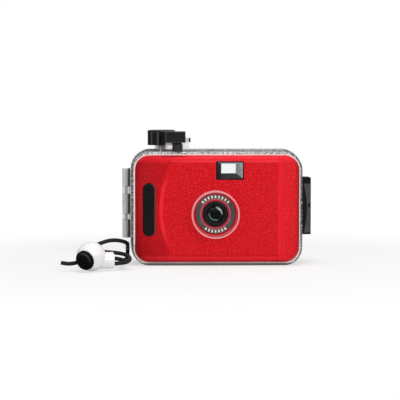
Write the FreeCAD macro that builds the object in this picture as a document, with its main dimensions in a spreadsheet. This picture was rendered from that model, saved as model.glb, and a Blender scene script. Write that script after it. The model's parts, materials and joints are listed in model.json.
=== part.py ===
import FreeCAD, Part
import math
import os
import re
import Sketcher

# Reusable 35 mm film camera inside its clear dive case, with a wrist cord.
# Millimetres. +X is right, +Y is back and +Z is up, seen from the front.
# The origin is on the flat base of the case, at mid width and mid depth.

SIZES = {
    # Clear case
    "case_width": 111.2,
    "case_height": 74.0,
    "case_front": 20.0,
    "case_back": 20.0,
    "case_wall": 1.6,
    "case_floor": 1.8,
    "case_corner": 12.0,
    "case_edge": 2.0,
    "seam_y": 10.0,
    "flange_thick": 2.0,
    "flange_lip": 1.0,
    "gasket_width": 1.0,
    "gasket_depth": 1.0,
    "running": 0.05,
    "loose": 0.3,
    "fit": 0.1,
    # Round window in front of the lens
    "lens_x": -1.0,
    "lens_z": 33.6,
    "port_r": 15.5,
    "port_wall": 1.5,
    "port_length": 6.0,
    "port_window": 2.0,
    # Hinge of the case, on the left
    "hinge_z": 16.1,
    "hinge_r": 2.6,
    "hinge_gap": 0.2,
    "hinge_pin_r": 1.0,
    "leaf_knuckle": 11.9,
    "leaf_middle": 13.1,
    "shell_knuckle_low": 3.6,
    "shell_knuckle_high": 4.8,
    "knuckle_play": 0.15,
    "leaf_thick": 1.6,
    "leaf_depth": 5.0,
    # Latch of the case, on the right
    "latch_z": 18.4,
    "latch_height": 37.8,
    "latch_r": 2.2,
    "latch_pin_r": 0.9,
    "latch_stand_off": 3.4,
    "latch_set_back": 3.6,
    "latch_plate": 2.3,
    "latch_tab": 1.8,
    "latch_lug_height": 8.0,
    "latch_lug_relief": 0.6,
    "catch_reach": 1.8,
    "catch_depth": 4.0,
    "catch_margin": 3.5,
    "hook_thick": 2.1,
    # Wrist cord eye on the case
    "eye_y": -4.0,
    "eye_z": 13.3,
    "eye_thick": 3.0,
    "eye_r": 3.6,
    "eye_bore_r": 2.1,
    "eye_stand_off": 2.8,
    "eye_root_drop": 1.1,
    # Winding knob and its shaft
    "knob_x": -36.0,
    "knob_y": 3.4,
    "knob_r": 9.2,
    "knob_height": 9.9,
    "knob_lift": 3.7,
    "knob_flutes": 12,
    "flute_r": 1.5,
    "flute_out": 0.7,
    "knob_round": 1.2,
    "shaft_r": 1.8,
    "shaft_grip": 6.5,
    "shaft_boss_r": 4.5,
    "shaft_boss_height": 3.2,
    "seal_wire": 1.3,
    "clip_r": 3.2,
    "clip_thick": 0.4,
    "clip_play": 0.15,
    "blade_width": 3.2,
    "blade_thick": 1.4,
    "blade_length": 2.4,
    "blade_play": 0.2,
    "shaft_lift": 0.6,
    # Shutter lever on the case and the plunger under it
    "button_x": -25.6,
    "button_y": -11.8,
    "lever_arm": 4.4,
    "lever_nose": 1.0,
    "lever_neck_drop": 1.2,
    "head_drop": 1.5,
    "pin_height": 7.3,
    "lever_pin_r": 1.0,
    "lever_pin_head_r": 1.5,
    "pin_head": 1.1,
    "ear_inner": 7.0,
    "ear_thick": 4.0,
    "ear_front": 6.4,
    "ear_back": 1.6,
    "ear_slope": 0.6,
    "ear_head_r": 1.9,
    "lever_left": 7.5,
    "lever_right": 5.2,
    "lever_top": 5.7,
    "lever_cap": 3.6,
    "lever_apron": 1.7,
    "apron_reach": 10.1,
    "apron_drop": 1.5,
    "lever_back": 1.2,
    "lever_hub_r": 1.8,
    "plunger_head_r": 3.0,
    "plunger_head": 1.2,
    "plunger_r": 1.0,
    "plunger_boss_r": 2.1,
    "plunger_boss_height": 2.2,
    "plunger_seal_wire": 0.7,
    "plunger_clip_r": 2.0,
    "plunger_clip": 0.25,
    "plunger_spring_r": 3.0,
    "plunger_spring_wire": 0.6,
    "plunger_spring_turns": 3,
    "spring_play": 0.06,
    # Camera body: the raised panel's arc is placed from the left side, its end from the right
    "side_gap": 0.7,
    "floor_gap": 0.3,
    "top_gap": 0.7,
    "front_gap": 0.3,
    "back_gap": 1.4,
    "panel_height": 0.8,
    "panel_slope": 1.5,
    "panel_arc_r": 63.0,
    "panel_arc_x": 79.3,
    "panel_arc_z": 36.0,
    "panel_right": 11.5,
    "panel_margin": 4.9,
    "camera_corner": 9.5,
    "camera_edge": 3.0,
    "camera_wall": 1.6,
    "cover_seam_y": -7.5,
    "door_seam_y": 11.0,
    "door_round": 2.0,
    # Grip strip, placed from the camera's left side
    "grip_x": 9.1,
    "grip_z": 36.3,
    "grip_width": 8.0,
    "grip_length": 34.8,
    "grip_inset": 0.6,
    # Viewfinder tunnel, placed from the camera's top
    "finder_x": 8.5,
    "finder_z": 9.9,
    "finder_width": 18.2,
    "finder_height": 12.1,
    "finder_back_width": 11.4,
    "finder_back_height": 8.2,
    "finder_wall": 0.9,
    "finder_window": 1.0,
    "finder_window_inset": 0.5,
    "finder_window_play": 0.25,
    "finder_back_gap": 0.6,
    # Lens
    "ring_r": 12.8,
    "ring_inner_r": 10.1,
    "trim_inner_r": 8.15,
    "ring_height": 3.7,
    "trim_height": 3.3,
    "barrel_r": 8.1,
    "barrel_bore_r": 5.4,
    "barrel_front": 20.2,
    "barrel_back": 9.6,
    "barrel_flange_r": 14.6,
    "barrel_flange": 1.2,
    "ring_play": 0.3,
    "glass_thick": 1.6,
    "glass_front": 18.4,
    "glass_rear": 14.0,
    "glass_dome_r": 14.0,
    "aperture_y": 11.4,
    "aperture_thick": 0.6,
    "aperture_r": 1.8,
    "blade_r": 3.6,
    "blade_arm": 12.0,
    "blade_sheet": 0.5,
    "blade_y": 8.9,
    "blade_hub_r": 2.2,
    "post_r": 0.8,
    "post_end": 0.6,
    # Chassis: the cartridge is placed from the camera's right side
    "plate": 1.4,
    "shelf": 1.2,
    "gate_width": 36.0,
    "gate_height": 24.0,
    "film_y": 10.0,
    "chamber_height": 49.0,
    "cartridge_x": 15.7,
    "cartridge_y": 1.5,
    "cartridge_r": 12.9,
    "spool_wall_x": 46.5,
    "spool_r": 4.5,
    "spool_flange_r": 6.4,
    "spool_flange": 1.2,
    "spool_socket": 6.0,
    "film_slot": 1.2,
    "spool_journal_r": 1.2,
    "sprocket_x": -24.6,
    "sprocket_r": 3.0,
    "sprocket_shaft_r": 1.0,
    "sprocket_span": 17.0,
    "sprocket_end": 1.0,
    "sprocket_teeth": 4,
    "tooth": 0.8,
    "wheel_r": 6.2,
    "wheel_height": 3.4,
    "wheel_drop": 1.3,
    "wheel_notches": 20,
    "wheel_notch_r": 0.5,
    "wheel_play": 0.4,
    "wheel_shaft_r": 2.0,
    "cup_wall": 0.8,
    "crank_r": 7.4,
    "crank_height": 1.8,
    "crank_drop": 1.7,
    "crank_play": 0.4,
    "crank_shaft_r": 2.0,
    "handle_height": 1.2,
    "handle_width": 3.0,
    "handle_inset": 1.0,
    "fork_width": 3.6,
    "fork_thick": 1.2,
    "fork_length": 5.0,
    "counter_x": -15.0,
    "counter_y": 4.0,
    "counter_r": 4.6,
    "counter_thick": 1.0,
    "counter_pin_r": 0.8,
    "counter_window_r": 1.4,
    "counter_window_out": 3.0,
    "counter_pin_sink": 0.6,
    "release_r": 1.5,
    "release_flange_r": 2.3,
    "release_rim": 0.8,
    "release_height": 1.9,
    # Shutter release inside the camera: its bracket is placed from the camera's top
    "button_r": 2.6,
    "button_height": 5.1,
    "button_stem_r": 1.1,
    "trigger_z": 50.0,
    "trigger_pivot_x": 8.6,
    "trigger_reach": 11.0,
    "trigger_thick": 2.6,
    "trigger_sheet": 1.2,
    "bracket_z": 11.7,
    "bracket_half": 3.0,
    "bracket_front": 2.6,
    "button_spring_r": 2.1,
    "button_spring_wire": 0.5,
    "button_spring_turns": 4,
    # Film door of the camera: its hinge is placed from the left side, its lower knuckle
    # from the floor, and its upper knuckle and its tongue from the top
    "door_play": 0.3,
    "seal_width": 1.0,
    "film_play": 0.3,
    "eyepiece_width": 10.4,
    "eyepiece_height": 7.2,
    "film_hinge_x": 1.3,
    "film_hinge_y": 12.9,
    "film_hinge_r": 1.3,
    "film_pin_r": 0.6,
    "film_knuckle": 6.0,
    "knuckle_room": 1.7,
    "knuckle_end": 8.5,
    "film_knuckle_low": 9.9,
    "film_knuckle_high": 15.7,
    "pressure_width": 42.0,
    "pressure_height": 31.0,
    "pressure_thick": 1.0,
    "leaf_spring_span": 28.0,
    "leaf_spring_height": 8.0,
    "leaf_spring_sheet": 0.3,
    "tongue_z": 11.8,
    "tongue_width": 1.3,
    "tongue_height": 4.0,
    "tongue_reach": 2.4,
    # Screws through the chassis into the front cover: placed from its sides, the lower ones
    # from its floor and the upper ones from the chassis's upper shelf
    "screw_r": 1.1,
    "screw_head_r": 1.9,
    "screw_head": 1.4,
    "screw_slot": 0.6,
    "screw_length": 7.6,
    "screw_post_r": 2.1,
    "screw_wide": 11.3,
    "screw_low": 3.5,
    "screw_high": 2.7,
    # Wrist cord and its lock
    "cord_r": 1.3,
    "cord_play": 0.12,
    "ball_r": 9.3,
    "ball_x": -80.4,
    "ball_y": -52.0,
    "collar_r": 5.2,
    "collar_length": 14.0,
    "collar_drop": 2.7,
    "collar_turn": 15.0,
    "cap_r": 6.2,
    "cap_thick": 3.4,
    "cap_dome_r": 9.0,
    "cap_seat": 7.3,
    "cap_travel": 1.4,
    "cap_play": 0.15,
    "cap_turn": 239.0,
    "cap_tilt": -14.5,
}

# Derived places, as formulas on the sizes
CASE_HALF = "(case_width / 2)"
INNER_HALF = "(case_width / 2 - case_wall)"
INNER_TOP = "(case_height - case_wall)"
CAM_HALF = "(case_width / 2 - case_wall - side_gap)"
CAM_FLOOR = "(case_floor + floor_gap)"
CAM_TOP = "(case_height - case_wall - top_gap)"
PANEL_FRONT = "(-case_front + case_wall + front_gap)"
CAM_FRONT = "(-case_front + case_wall + front_gap + panel_height)"
COVER_INNER = "(-case_front + case_wall + front_gap + panel_height + camera_wall)"
CAM_BACK = "(case_back - case_wall - back_gap)"
HINGE_X = "(-(case_width / 2 + flange_lip + hinge_r + hinge_gap))"
LATCH_X = "(case_width / 2 + flange_lip + latch_stand_off)"
LATCH_Y = "(seam_y + latch_set_back)"
KNOB_BASE = "(case_height + knob_lift)"
PIN_Y = "(button_y + lever_arm)"
PIN_Z = "(case_height + pin_height)"
HEAD_TOP = "(case_height + pin_height - head_drop)"
HEAD_BASE = f"({HEAD_TOP} - plunger_head)"
SHELF_LOW = "(lens_z - chamber_height / 2)"
SHELF_HIGH = "(lens_z + chamber_height / 2)"
CHASSIS_TOP = f"({CAM_TOP} - plate)"
FRONT_PLATE = "(cover_seam_y + plate)"
GATE_Y = "(film_y - plate)"
DOOR_FRONT = "(door_seam_y + door_play)"
DOOR_INNER = f"({CAM_BACK} - camera_wall)"
WHEEL_TOP = f"({CAM_TOP} - wheel_drop)"
WHEEL_BASE = f"({CAM_TOP} - wheel_drop - wheel_height)"
CRANK_TOP = f"({CAM_TOP} - crank_drop)"
CRANK_BASE = f"({CAM_TOP} - crank_drop - crank_height)"
BUTTON_TOP = f"({CAM_TOP} - fit)"
BUTTON_BASE = f"({CAM_TOP} - fit - button_height)"
FLANGE_FRONT = COVER_INNER
SPROCKET_Y = "(film_y - sprocket_r)"
TRIGGER_X = "(button_x + trigger_pivot_x)"
TRIGGER_Y = ("(button_y - trigger_sheet / 2)", "(button_y + trigger_sheet / 2)")
FINDER_FRONT = f"({PANEL_FRONT} + fit)"
FINDER_BACK = f"({DOOR_FRONT} - finder_back_gap)"
PANEL_BACK = f"({CAM_FRONT} + camera_wall / 2)"
PANEL_SPREAD = "(panel_slope * (panel_height + camera_wall / 2) / panel_height)"
PANEL_ARC_X = f"(-{CAM_HALF} + panel_arc_x)"
PANEL_RIGHT = f"({CAM_HALF} - panel_right)"
GRIP_X = f"(-{CAM_HALF} + grip_x)"
FINDER_Z = f"({CAM_TOP} - finder_z)"
CARTRIDGE_X = f"({CAM_HALF} - cartridge_x)"
BRACKET_Z = f"({CAM_TOP} - bracket_z)"
FILM_HINGE_X = f"(-{CAM_HALF} + film_hinge_x)"
KNUCKLE_LOW = f"({CAM_FLOOR} + film_knuckle_low)"
KNUCKLE_HIGH = f"({CAM_TOP} - film_knuckle_high)"
TONGUE_Z = f"({CAM_TOP} - tongue_z)"
TONGUE_RIGHT = f"({CAM_HALF} - plate - loose)"
TONGUE_LEFT = f"({TONGUE_RIGHT} - tongue_width)"
TONGUE_TIP = "(door_seam_y - tongue_reach)"
SCREW_X = f"({CAM_HALF} - screw_wide)"
SCREW_LOW = f"({CAM_FLOOR} + screw_low)"
SCREW_HIGH = f"({SHELF_HIGH} + shelf + screw_high)"
SCREWS = ((f"-{SCREW_X}", SCREW_HIGH), (SCREW_X, SCREW_HIGH),
          (f"-{SCREW_X}", SCREW_LOW), (SCREW_X, SCREW_LOW))

doc = FreeCAD.newDocument("film_camera")
sheet = doc.addObject("Spreadsheet::Sheet", "Sizes")
for row, (alias, size) in enumerate(SIZES.items(), start=1):
    sheet.set(f"A{row}", alias)
    sheet.set(f"B{row}", str(size))
    sheet.setAlias(f"B{row}", alias)
doc.recompute()

NODES = {}
WORD = re.compile(r"[a-z_]+")
X_AXIS = FreeCAD.Vector(1, 0, 0)
Y_AXIS = FreeCAD.Vector(0, 1, 0)
Z_AXIS = FreeCAD.Vector(0, 0, 1)
TURNS = {
    "X": FreeCAD.Rotation(Y_AXIS, 90),
    "Y": FreeCAD.Rotation(X_AXIS, -90),
    "Z": FreeCAD.Rotation(),
}


def tie(formula):
    """A formula on the sizes, as an expression on the sheet."""
    return WORD.sub(lambda found: "Sizes." + found.group(), str(formula))


def number(formula):
    """The value that a formula on the sizes has now."""
    plain = WORD.sub(lambda found: f"({SIZES[found.group()]})", str(formula))
    return FreeCAD.Units.parseQuantity(plain).Value


def point(x, y, z):
    """A place given by three formulas."""
    return FreeCAD.Vector(number(x), number(y), number(z))


def bind(piece, **formulas):
    """Tie the named properties of a piece to formulas."""
    for name, formula in formulas.items():
        piece.setExpression(name, tie(formula))
    return piece


def place(piece, x, y, z):
    """Tie the place of a piece to three formulas."""
    for axis, formula in zip("xyz", (x, y, z)):
        piece.setExpression(f"Placement.Base.{axis}", tie(formula))
    return piece


def box(name, x, y, z):
    """A block between a low and a high formula on each axis."""
    block = doc.addObject("Part::Box", name)
    bind(block, Length=f"({x[1]}) - ({x[0]})")
    bind(block, Width=f"({y[1]}) - ({y[0]})")
    bind(block, Height=f"({z[1]}) - ({z[0]})")
    return place(block, x[0], y[0], z[0])


def rod(name, axis, radius, along, at):
    """A round rod along one axis, at two formulas on the other axes."""
    cylinder = doc.addObject("Part::Cylinder", name)
    cylinder.Placement = FreeCAD.Placement(FreeCAD.Vector(), TURNS[axis])
    bind(cylinder, Radius=radius, Height=f"({along[1]}) - ({along[0]})")
    spot = list(at)
    spot.insert("XYZ".index(axis), along[0])
    return place(cylinder, *spot)


def ring(name, axis, outer, inner, along, at):
    """A flat or long ring: one rod less another."""
    body = rod(name + "_body", axis, outer, along, at)
    reach = (f"({along[0]}) - 1", f"({along[1]}) + 1")
    return cut(name, body, rod(name + "_bore", axis, inner, reach, at))


def fuse(name, *pieces):
    """One solid from several that overlap."""
    joined = doc.addObject("Part::MultiFuse", name)
    joined.Shapes = list(pieces)
    joined.Refine = True
    return joined


def cut(name, base, *tools):
    """A piece less one tool or several."""
    tool = tools[0]
    if len(tools) > 1:
        tool = fuse(name + "_tools", *tools)
        tool.Refine = False
    less = doc.addObject("Part::Cut", name)
    less.Base = base
    less.Tool = tool
    less.Refine = True
    return less


def shared(name, first, second):
    """What two pieces have in common."""
    both = doc.addObject("Part::Common", name)
    both.Base = first
    both.Tool = second
    return both


def torus(name, radius, wire, at):
    """A round sealing ring that lies level."""
    seal = doc.addObject("Part::Torus", name)
    bind(seal, Radius1=radius, Radius2=wire)
    return place(seal, *at)


def group(name, *pieces):
    """Separate solids of the same kind, kept as one node."""
    kept = doc.addObject("Part::Compound", name)
    kept.Links = list(pieces)
    return kept


def node(name, piece):
    """Name a finished piece as a part of the object."""
    piece.Label = name
    NODES[name] = piece
    return piece


def origin_plane(body, role):
    """One of the base planes of a body."""
    return [plane for plane in body.Origin.OriginFeatures if plane.Role == role][0]


def level_sketch(body, name, y):
    """A sketch that faces front, at depth y: its x is X and its y is Z."""
    sketch = body.newObject("Sketcher::SketchObject", name)
    sketch.AttachmentSupport = [(origin_plane(body, "XZ_Plane"), "")]
    sketch.MapMode = "FlatFace"
    sketch.setExpression("AttachmentOffset.Base.z", tie(f"-({y})"))
    return sketch


def top_sketch(body, name, x, y, z):
    """A sketch that faces up, with its own origin at a place."""
    sketch = body.newObject("Sketcher::SketchObject", name)
    sketch.AttachmentSupport = [(origin_plane(body, "XY_Plane"), "")]
    sketch.MapMode = "FlatFace"
    for axis, formula in zip("xyz", (x, y, z)):
        sketch.setExpression(f"AttachmentOffset.Base.{axis}", tie(formula))
    return sketch


def measured(sketch, kind, name, formula, *spots):
    """Add a dimension to a sketch and tie it to a formula."""
    sketch.addConstraint(Sketcher.Constraint(kind, *spots, number(formula)))
    sketch.renameConstraint(sketch.ConstraintCount - 1, name)
    sketch.setExpression(f"Constraints.{name}", tie(formula))


def draw_circle(sketch, name, radius, x=None, y=None):
    """A circle at the sketch's origin, or at two formulas from it."""
    spot = FreeCAD.Vector(number(x) if x else 0, number(y) if y else 0, 0)
    ring_index = sketch.addGeometry(Part.Circle(spot, Z_AXIS, number(radius)), False)
    measured(sketch, "Radius", name + "_r", radius, ring_index)
    if x is None:
        sketch.addConstraint(Sketcher.Constraint("Coincident", ring_index, 3, -1, 1))
        return ring_index
    measured(sketch, "DistanceX", name + "_x", x, -1, 1, ring_index, 3)
    if y is None:
        sketch.addConstraint(Sketcher.Constraint("PointOnObject", ring_index, 3, -1))
    else:
        measured(sketch, "DistanceY", name + "_y", y, -1, 1, ring_index, 3)
    return ring_index


def draw_rounded(sketch, half, low, high, radius):
    """An upright rounded rectangle, the same width each side of x = 0."""
    w, z0, z1, r = (number(value) for value in (half, low, high, radius))
    vector = FreeCAD.Vector
    corners = [
        (vector(w - r, z0 + r, 0), 270, 360),
        (vector(w - r, z1 - r, 0), 0, 90),
        (vector(-w + r, z1 - r, 0), 90, 180),
        (vector(-w + r, z0 + r, 0), 180, 270),
    ]
    lines = [
        (vector(-w + r, z0, 0), vector(w - r, z0, 0)),
        (vector(w, z0 + r, 0), vector(w, z1 - r, 0)),
        (vector(w - r, z1, 0), vector(-w + r, z1, 0)),
        (vector(-w, z1 - r, 0), vector(-w, z0 + r, 0)),
    ]
    sides = []
    arcs = []
    for (start, end), (centre, first, last) in zip(lines, corners):
        sides.append(sketch.addGeometry(Part.LineSegment(start, end), False))
        circle = Part.Circle(centre, Z_AXIS, r)
        bend = Part.ArcOfCircle(circle, math.radians(first), math.radians(last))
        arcs.append(sketch.addGeometry(bend, False))
    for index in range(4):
        after = sides[(index + 1) % 4]
        sketch.addConstraint(Sketcher.Constraint("Tangent", sides[index], 2, arcs[index], 1))
        sketch.addConstraint(Sketcher.Constraint("Tangent", arcs[index], 2, after, 1))
        if index:
            sketch.addConstraint(Sketcher.Constraint("Equal", arcs[0], arcs[index]))
    sketch.addConstraint(Sketcher.Constraint("Horizontal", sides[0]))
    sketch.addConstraint(Sketcher.Constraint("Vertical", sides[1]))
    sketch.addConstraint(Sketcher.Constraint("Symmetric", sides[1], 1, sides[3], 2, -2))
    measured(sketch, "Radius", "corner", radius, arcs[0])
    measured(sketch, "DistanceX", "width", f"2 * ({half})", sides[3], 1, sides[1], 2)
    measured(sketch, "DistanceY", "foot", low, -1, 1, sides[0], 1)
    measured(sketch, "DistanceY", "head", high, -1, 1, sides[2], 1)


def edges_on(shape, y):
    """Names of the edges that lie at one depth."""
    names = []
    for index, edge in enumerate(shape.Edges, start=1):
        bounds = edge.BoundBox
        if abs(bounds.YMin - y) < 0.001 and abs(bounds.YMax - y) < 0.001:
            names.append(f"Edge{index}")
    return names


def slab(name, half, low, high, radius, y, rounding=None, round_at=None):
    """A rounded block between two depths, with one face's rim rounded."""
    body = doc.addObject("PartDesign::Body", name)
    sketch = level_sketch(body, name + "_outline", y[1])
    draw_rounded(sketch, half, low, high, radius)
    pad = body.newObject("PartDesign::Pad", name + "_pad")
    pad.Profile = sketch
    bind(pad, Length=f"({y[1]}) - ({y[0]})")
    sketch.Visibility = False
    if rounding:
        doc.recompute()
        rim = body.newObject("PartDesign::Fillet", name + "_rim")
        rim.Base = (pad, edges_on(pad.Shape, number(round_at)))
        bind(rim, Radius=rounding)
    return body


def frame(name, outer, inner, y):
    """A rounded frame: one slab less another, both between two depths."""
    body = slab(name + "_outer", *outer, y)
    hole = slab(name + "_hole", *inner, (f"({y[0]}) - 1", f"({y[1]}) + 1"))
    return cut(name, body, hole)


# Clear front shell, with its lens window, bosses, ears, knuckles, eye and catch
def front_shell():
    outside = slab("shell_outside", CASE_HALF, "0", "case_height", "case_corner",
                   ("-case_front", "seam_y"), "case_edge", "-case_front")
    flange = slab("shell_flange", f"{CASE_HALF} + flange_lip", "0", "case_height + flange_lip",
                  "case_corner + flange_lip", ("seam_y - flange_thick", "seam_y"))
    inside = slab("shell_inside", INNER_HALF, "case_floor", INNER_TOP, "case_corner - case_wall",
                  ("-case_front + case_wall", "seam_y + 1"))
    lens = ("lens_x", "lens_z")
    port = rod("port", "Y", "port_r", ("-case_front - port_length", "-case_front + case_wall / 2"), lens)
    port_bore = rod("port_bore", "Y", "port_r - port_wall",
                    ("-case_front - port_length + port_window", "-case_front + case_wall + 1"), lens)
    knob = ("knob_x", "knob_y")
    boss = rod("shaft_boss", "Z", "shaft_boss_r",
               (f"{INNER_TOP} + case_wall / 2", "case_height + shaft_boss_height"), knob)
    shaft_hole = rod("shaft_hole", "Z", "shaft_r + running",
                     (f"{INNER_TOP} - 1", "case_height + shaft_boss_height + 1"), knob)
    seal_seat = rod("shaft_seal_seat", "Z", "shaft_r + seal_wire",
                    ("case_height + shaft_boss_height - seal_wire - running",
                     "case_height + shaft_boss_height + 1"), knob)
    press = ("button_x", "button_y")
    plunger_boss = rod("plunger_boss", "Z", "plunger_boss_r",
                       (f"{INNER_TOP} + case_wall / 2", "case_height + plunger_boss_height"), press)
    plunger_hole = rod("plunger_hole", "Z", "plunger_r + running",
                       (f"{INNER_TOP} - 1", "case_height + plunger_boss_height + 1"), press)
    plunger_seat = rod("plunger_seal_seat", "Z", "plunger_r + plunger_seal_wire",
                       ("case_height + plunger_boss_height - plunger_seal_wire - running",
                        "case_height + plunger_boss_height + 1"), press)
    ears = [lever_ear(side) for side in (-1, 1)]
    pin_hole = rod("lever_pin_hole", "X", "lever_pin_r + running",
                   ("button_x - ear_inner / 2 - ear_thick - 1", "button_x + ear_inner / 2 + ear_thick + 1"),
                   (PIN_Y, PIN_Z))
    low = "(hinge_z + leaf_knuckle + knuckle_play)"
    mid = "(hinge_z + leaf_knuckle + shell_knuckle_low + leaf_middle + 3 * knuckle_play)"
    knuckles = []
    for name, start, length in (("low", low, "shell_knuckle_low"), ("high", mid, "shell_knuckle_high")):
        span = (start, f"{start} + {length}")
        knuckles.append(rod(f"shell_knuckle_{name}", "Z", "hinge_r", span, (HINGE_X, "seam_y")))
        knuckles.append(box(f"shell_web_{name}", (HINGE_X, f"-{CASE_HALF}"),
                            ("seam_y - flange_thick", "seam_y"), span))
    hinge_hole = rod("shell_hinge_hole", "Z", "hinge_pin_r + running",
                     ("hinge_z", f"{mid} + shell_knuckle_high + 1"), (HINGE_X, "seam_y"))
    eye_at = (f"-{CASE_HALF} - eye_stand_off", "eye_z")
    eye_span = ("eye_y - eye_thick / 2", "eye_y + eye_thick / 2")
    eye = rod("cord_eye", "Y", "eye_r", eye_span, eye_at)
    eye_root = box("cord_eye_root", (f"-{CASE_HALF} - eye_stand_off", f"-{CASE_HALF} + case_wall / 2"),
                   eye_span, ("eye_z - eye_root_drop", "eye_z + eye_r"))
    eye_hole = rod("cord_eye_hole", "Y", "eye_bore_r", ("eye_y - eye_thick", "eye_y + eye_thick"), eye_at)
    catch = box("latch_catch", (f"{CASE_HALF} - case_wall / 2", f"{CASE_HALF} + flange_lip + catch_reach"),
                ("seam_y - catch_depth", "seam_y"),
                ("latch_z + catch_margin", "latch_z + latch_height - catch_margin"))
    solid = fuse("shell_solid", outside, flange, port, boss, plunger_boss, *ears, *knuckles,
                 eye, eye_root, catch)
    groove = gasket_frame("gasket_groove", "0")
    return cut("front_shell", solid, inside, port_bore, shaft_hole, seal_seat, plunger_hole,
               plunger_seat, pin_hole, hinge_hole, eye_hole, groove)


def lever_ear(side):
    """One ear that carries the pin of the shutter lever, sloped in front."""
    name = "ear_left" if side < 0 else "ear_right"
    start = "button_x - ear_inner / 2 - ear_thick" if side < 0 else "button_x + ear_inner / 2"
    across = (start, f"({start}) + ear_thick")
    root_z = "(case_height - case_wall / 2)"
    head = rod(name + "_head", "X", "ear_head_r", across, (PIN_Y, PIN_Z))
    back = box(name + "_back", across, (PIN_Y, f"{PIN_Y} + ear_back"), (root_z, PIN_Z))
    slope = doc.addObject("Part::Wedge", name + "_slope")
    bind(slope, Xmin="0", Xmax="ear_thick", X2min="0", X2max="ear_thick", Ymin="0", Ymax="ear_front")
    bind(slope, Zmin="0", Zmax="pin_height + case_wall / 2 - ear_slope")
    bind(slope, Z2min="0", Z2max="pin_height + case_wall / 2 + ear_head_r - fit")
    place(slope, start, f"{PIN_Y} - ear_front", root_z)
    return fuse(name, head, back, slope)


def gasket_frame(name, play):
    """The frame-shaped space of the gasket, grown by a play."""
    side = "(case_wall + flange_lip - gasket_width) / 2"
    foot = "(case_floor - gasket_width) / 2"
    outer = (f"{CASE_HALF} + flange_lip - {side} + {play}", f"{foot} - {play}",
             f"case_height + flange_lip - {side} + {play}", f"case_corner + flange_lip - {side}")
    inner = (f"{CASE_HALF} + flange_lip - {side} - gasket_width - {play}",
             f"{foot} + gasket_width + {play}",
             f"case_height + flange_lip - {side} - gasket_width - {play}",
             f"case_corner + flange_lip - {side} - gasket_width")
    return frame(name, outer, inner, ("seam_y - gasket_depth", "seam_y"))


# Clear rear door of the case
def rear_door():
    outside = slab("door_outside", CASE_HALF, "0", "case_height", "case_corner",
                   ("seam_y", "case_back"), "case_edge", "case_back")
    flange = slab("door_flange", f"{CASE_HALF} + flange_lip", "0", "case_height + flange_lip",
                  "case_corner + flange_lip", ("seam_y", "seam_y + flange_thick"))
    inside = slab("door_inside", INNER_HALF, "case_floor", INNER_TOP, "case_corner - case_wall",
                  ("seam_y - 1", "case_back - case_wall"))
    middle = "(latch_z + latch_height / 2)"
    span = (f"{middle} - latch_lug_height / 2", f"{middle} + latch_lug_height / 2")
    lug = rod("latch_lug", "Z", "latch_r", span, (LATCH_X, LATCH_Y))
    lug_root = box("latch_lug_root", (f"{CASE_HALF} - case_wall / 2", LATCH_X),
                   (f"{LATCH_Y} - latch_r + latch_lug_relief", f"{LATCH_Y} + latch_r"), span)
    lug_hole = rod("latch_lug_hole", "Z", "latch_pin_r + running", ("latch_z", "latch_z + latch_height"),
                   (LATCH_X, LATCH_Y))
    solid = fuse("door_solid", outside, flange, lug, lug_root)
    return cut("rear_door", solid, inside, lug_hole)


# Grey hinge leaf on the rear door
def hinge_leaf():
    one = "(hinge_z + leaf_knuckle)"
    two = f"({one} + shell_knuckle_low + 2 * knuckle_play)"
    three = f"({two} + leaf_middle)"
    four = f"({three} + shell_knuckle_high + 2 * knuckle_play)"
    top = f"({four} + leaf_knuckle)"
    web_y = "(seam_y + flange_thick)"
    pieces = [box("leaf_strip", (f"-{CASE_HALF} - leaf_thick", f"-{CASE_HALF}"),
                  (web_y, f"{web_y} + leaf_depth"), ("hinge_z", top))]
    for index, span in enumerate((("hinge_z", one), (two, three), (four, top))):
        pieces.append(rod(f"leaf_knuckle_{index}", "Z", "hinge_r", span, (HINGE_X, "seam_y")))
        pieces.append(box(f"leaf_web_{index}", (HINGE_X, f"-{CASE_HALF}"),
                          (web_y, f"{web_y} + leaf_thick"), span))
    hole = rod("leaf_pin_hole", "Z", "hinge_pin_r + running", ("hinge_z - 1", f"{top} + 1"),
               (HINGE_X, "seam_y"))
    return cut("leaf", fuse("leaf_solid", *pieces), hole), top


# Black latch: two barrels on its pin, a plate, a hook and a finger tab
def latch():
    middle = "(latch_z + latch_height / 2)"
    lug_low = f"({middle} - latch_lug_height / 2 - knuckle_play)"
    lug_high = f"({middle} + latch_lug_height / 2 + knuckle_play)"
    top = "(latch_z + latch_height)"
    barrels = [
        rod("latch_barrel_low", "Z", "latch_r", ("latch_z", lug_low), (LATCH_X, LATCH_Y)),
        rod("latch_barrel_high", "Z", "latch_r", (lug_high, top), (LATCH_X, LATCH_Y)),
    ]
    catch_x = f"({CASE_HALF} + flange_lip + catch_reach)"
    plate_x = f"({catch_x} + loose)"
    hook_y = "(seam_y - catch_depth - loose)"
    plate = box("latch_plate", (plate_x, f"{plate_x} + latch_plate"),
                (f"{hook_y} - hook_thick", LATCH_Y), ("latch_z", top))
    hook = box("latch_hook", (f"{CASE_HALF} + flange_lip + loose", f"{plate_x} + latch_plate + latch_tab"),
               (f"{hook_y} - hook_thick", hook_y), ("latch_z", top))
    window = box("latch_window", (f"{plate_x} - 2 * latch_r", f"{plate_x} + 2 * latch_plate + 2 * latch_r"),
                 (f"{LATCH_Y} - latch_r - loose", f"{LATCH_Y} + 2 * latch_r"), (lug_low, lug_high))
    hole = rod("latch_pin_hole", "Z", "latch_pin_r + running", ("latch_z - 1", f"{top} + 1"),
               (LATCH_X, LATCH_Y))
    return cut("latch", fuse("latch_solid", plate, hook, *barrels), window, hole)


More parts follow.
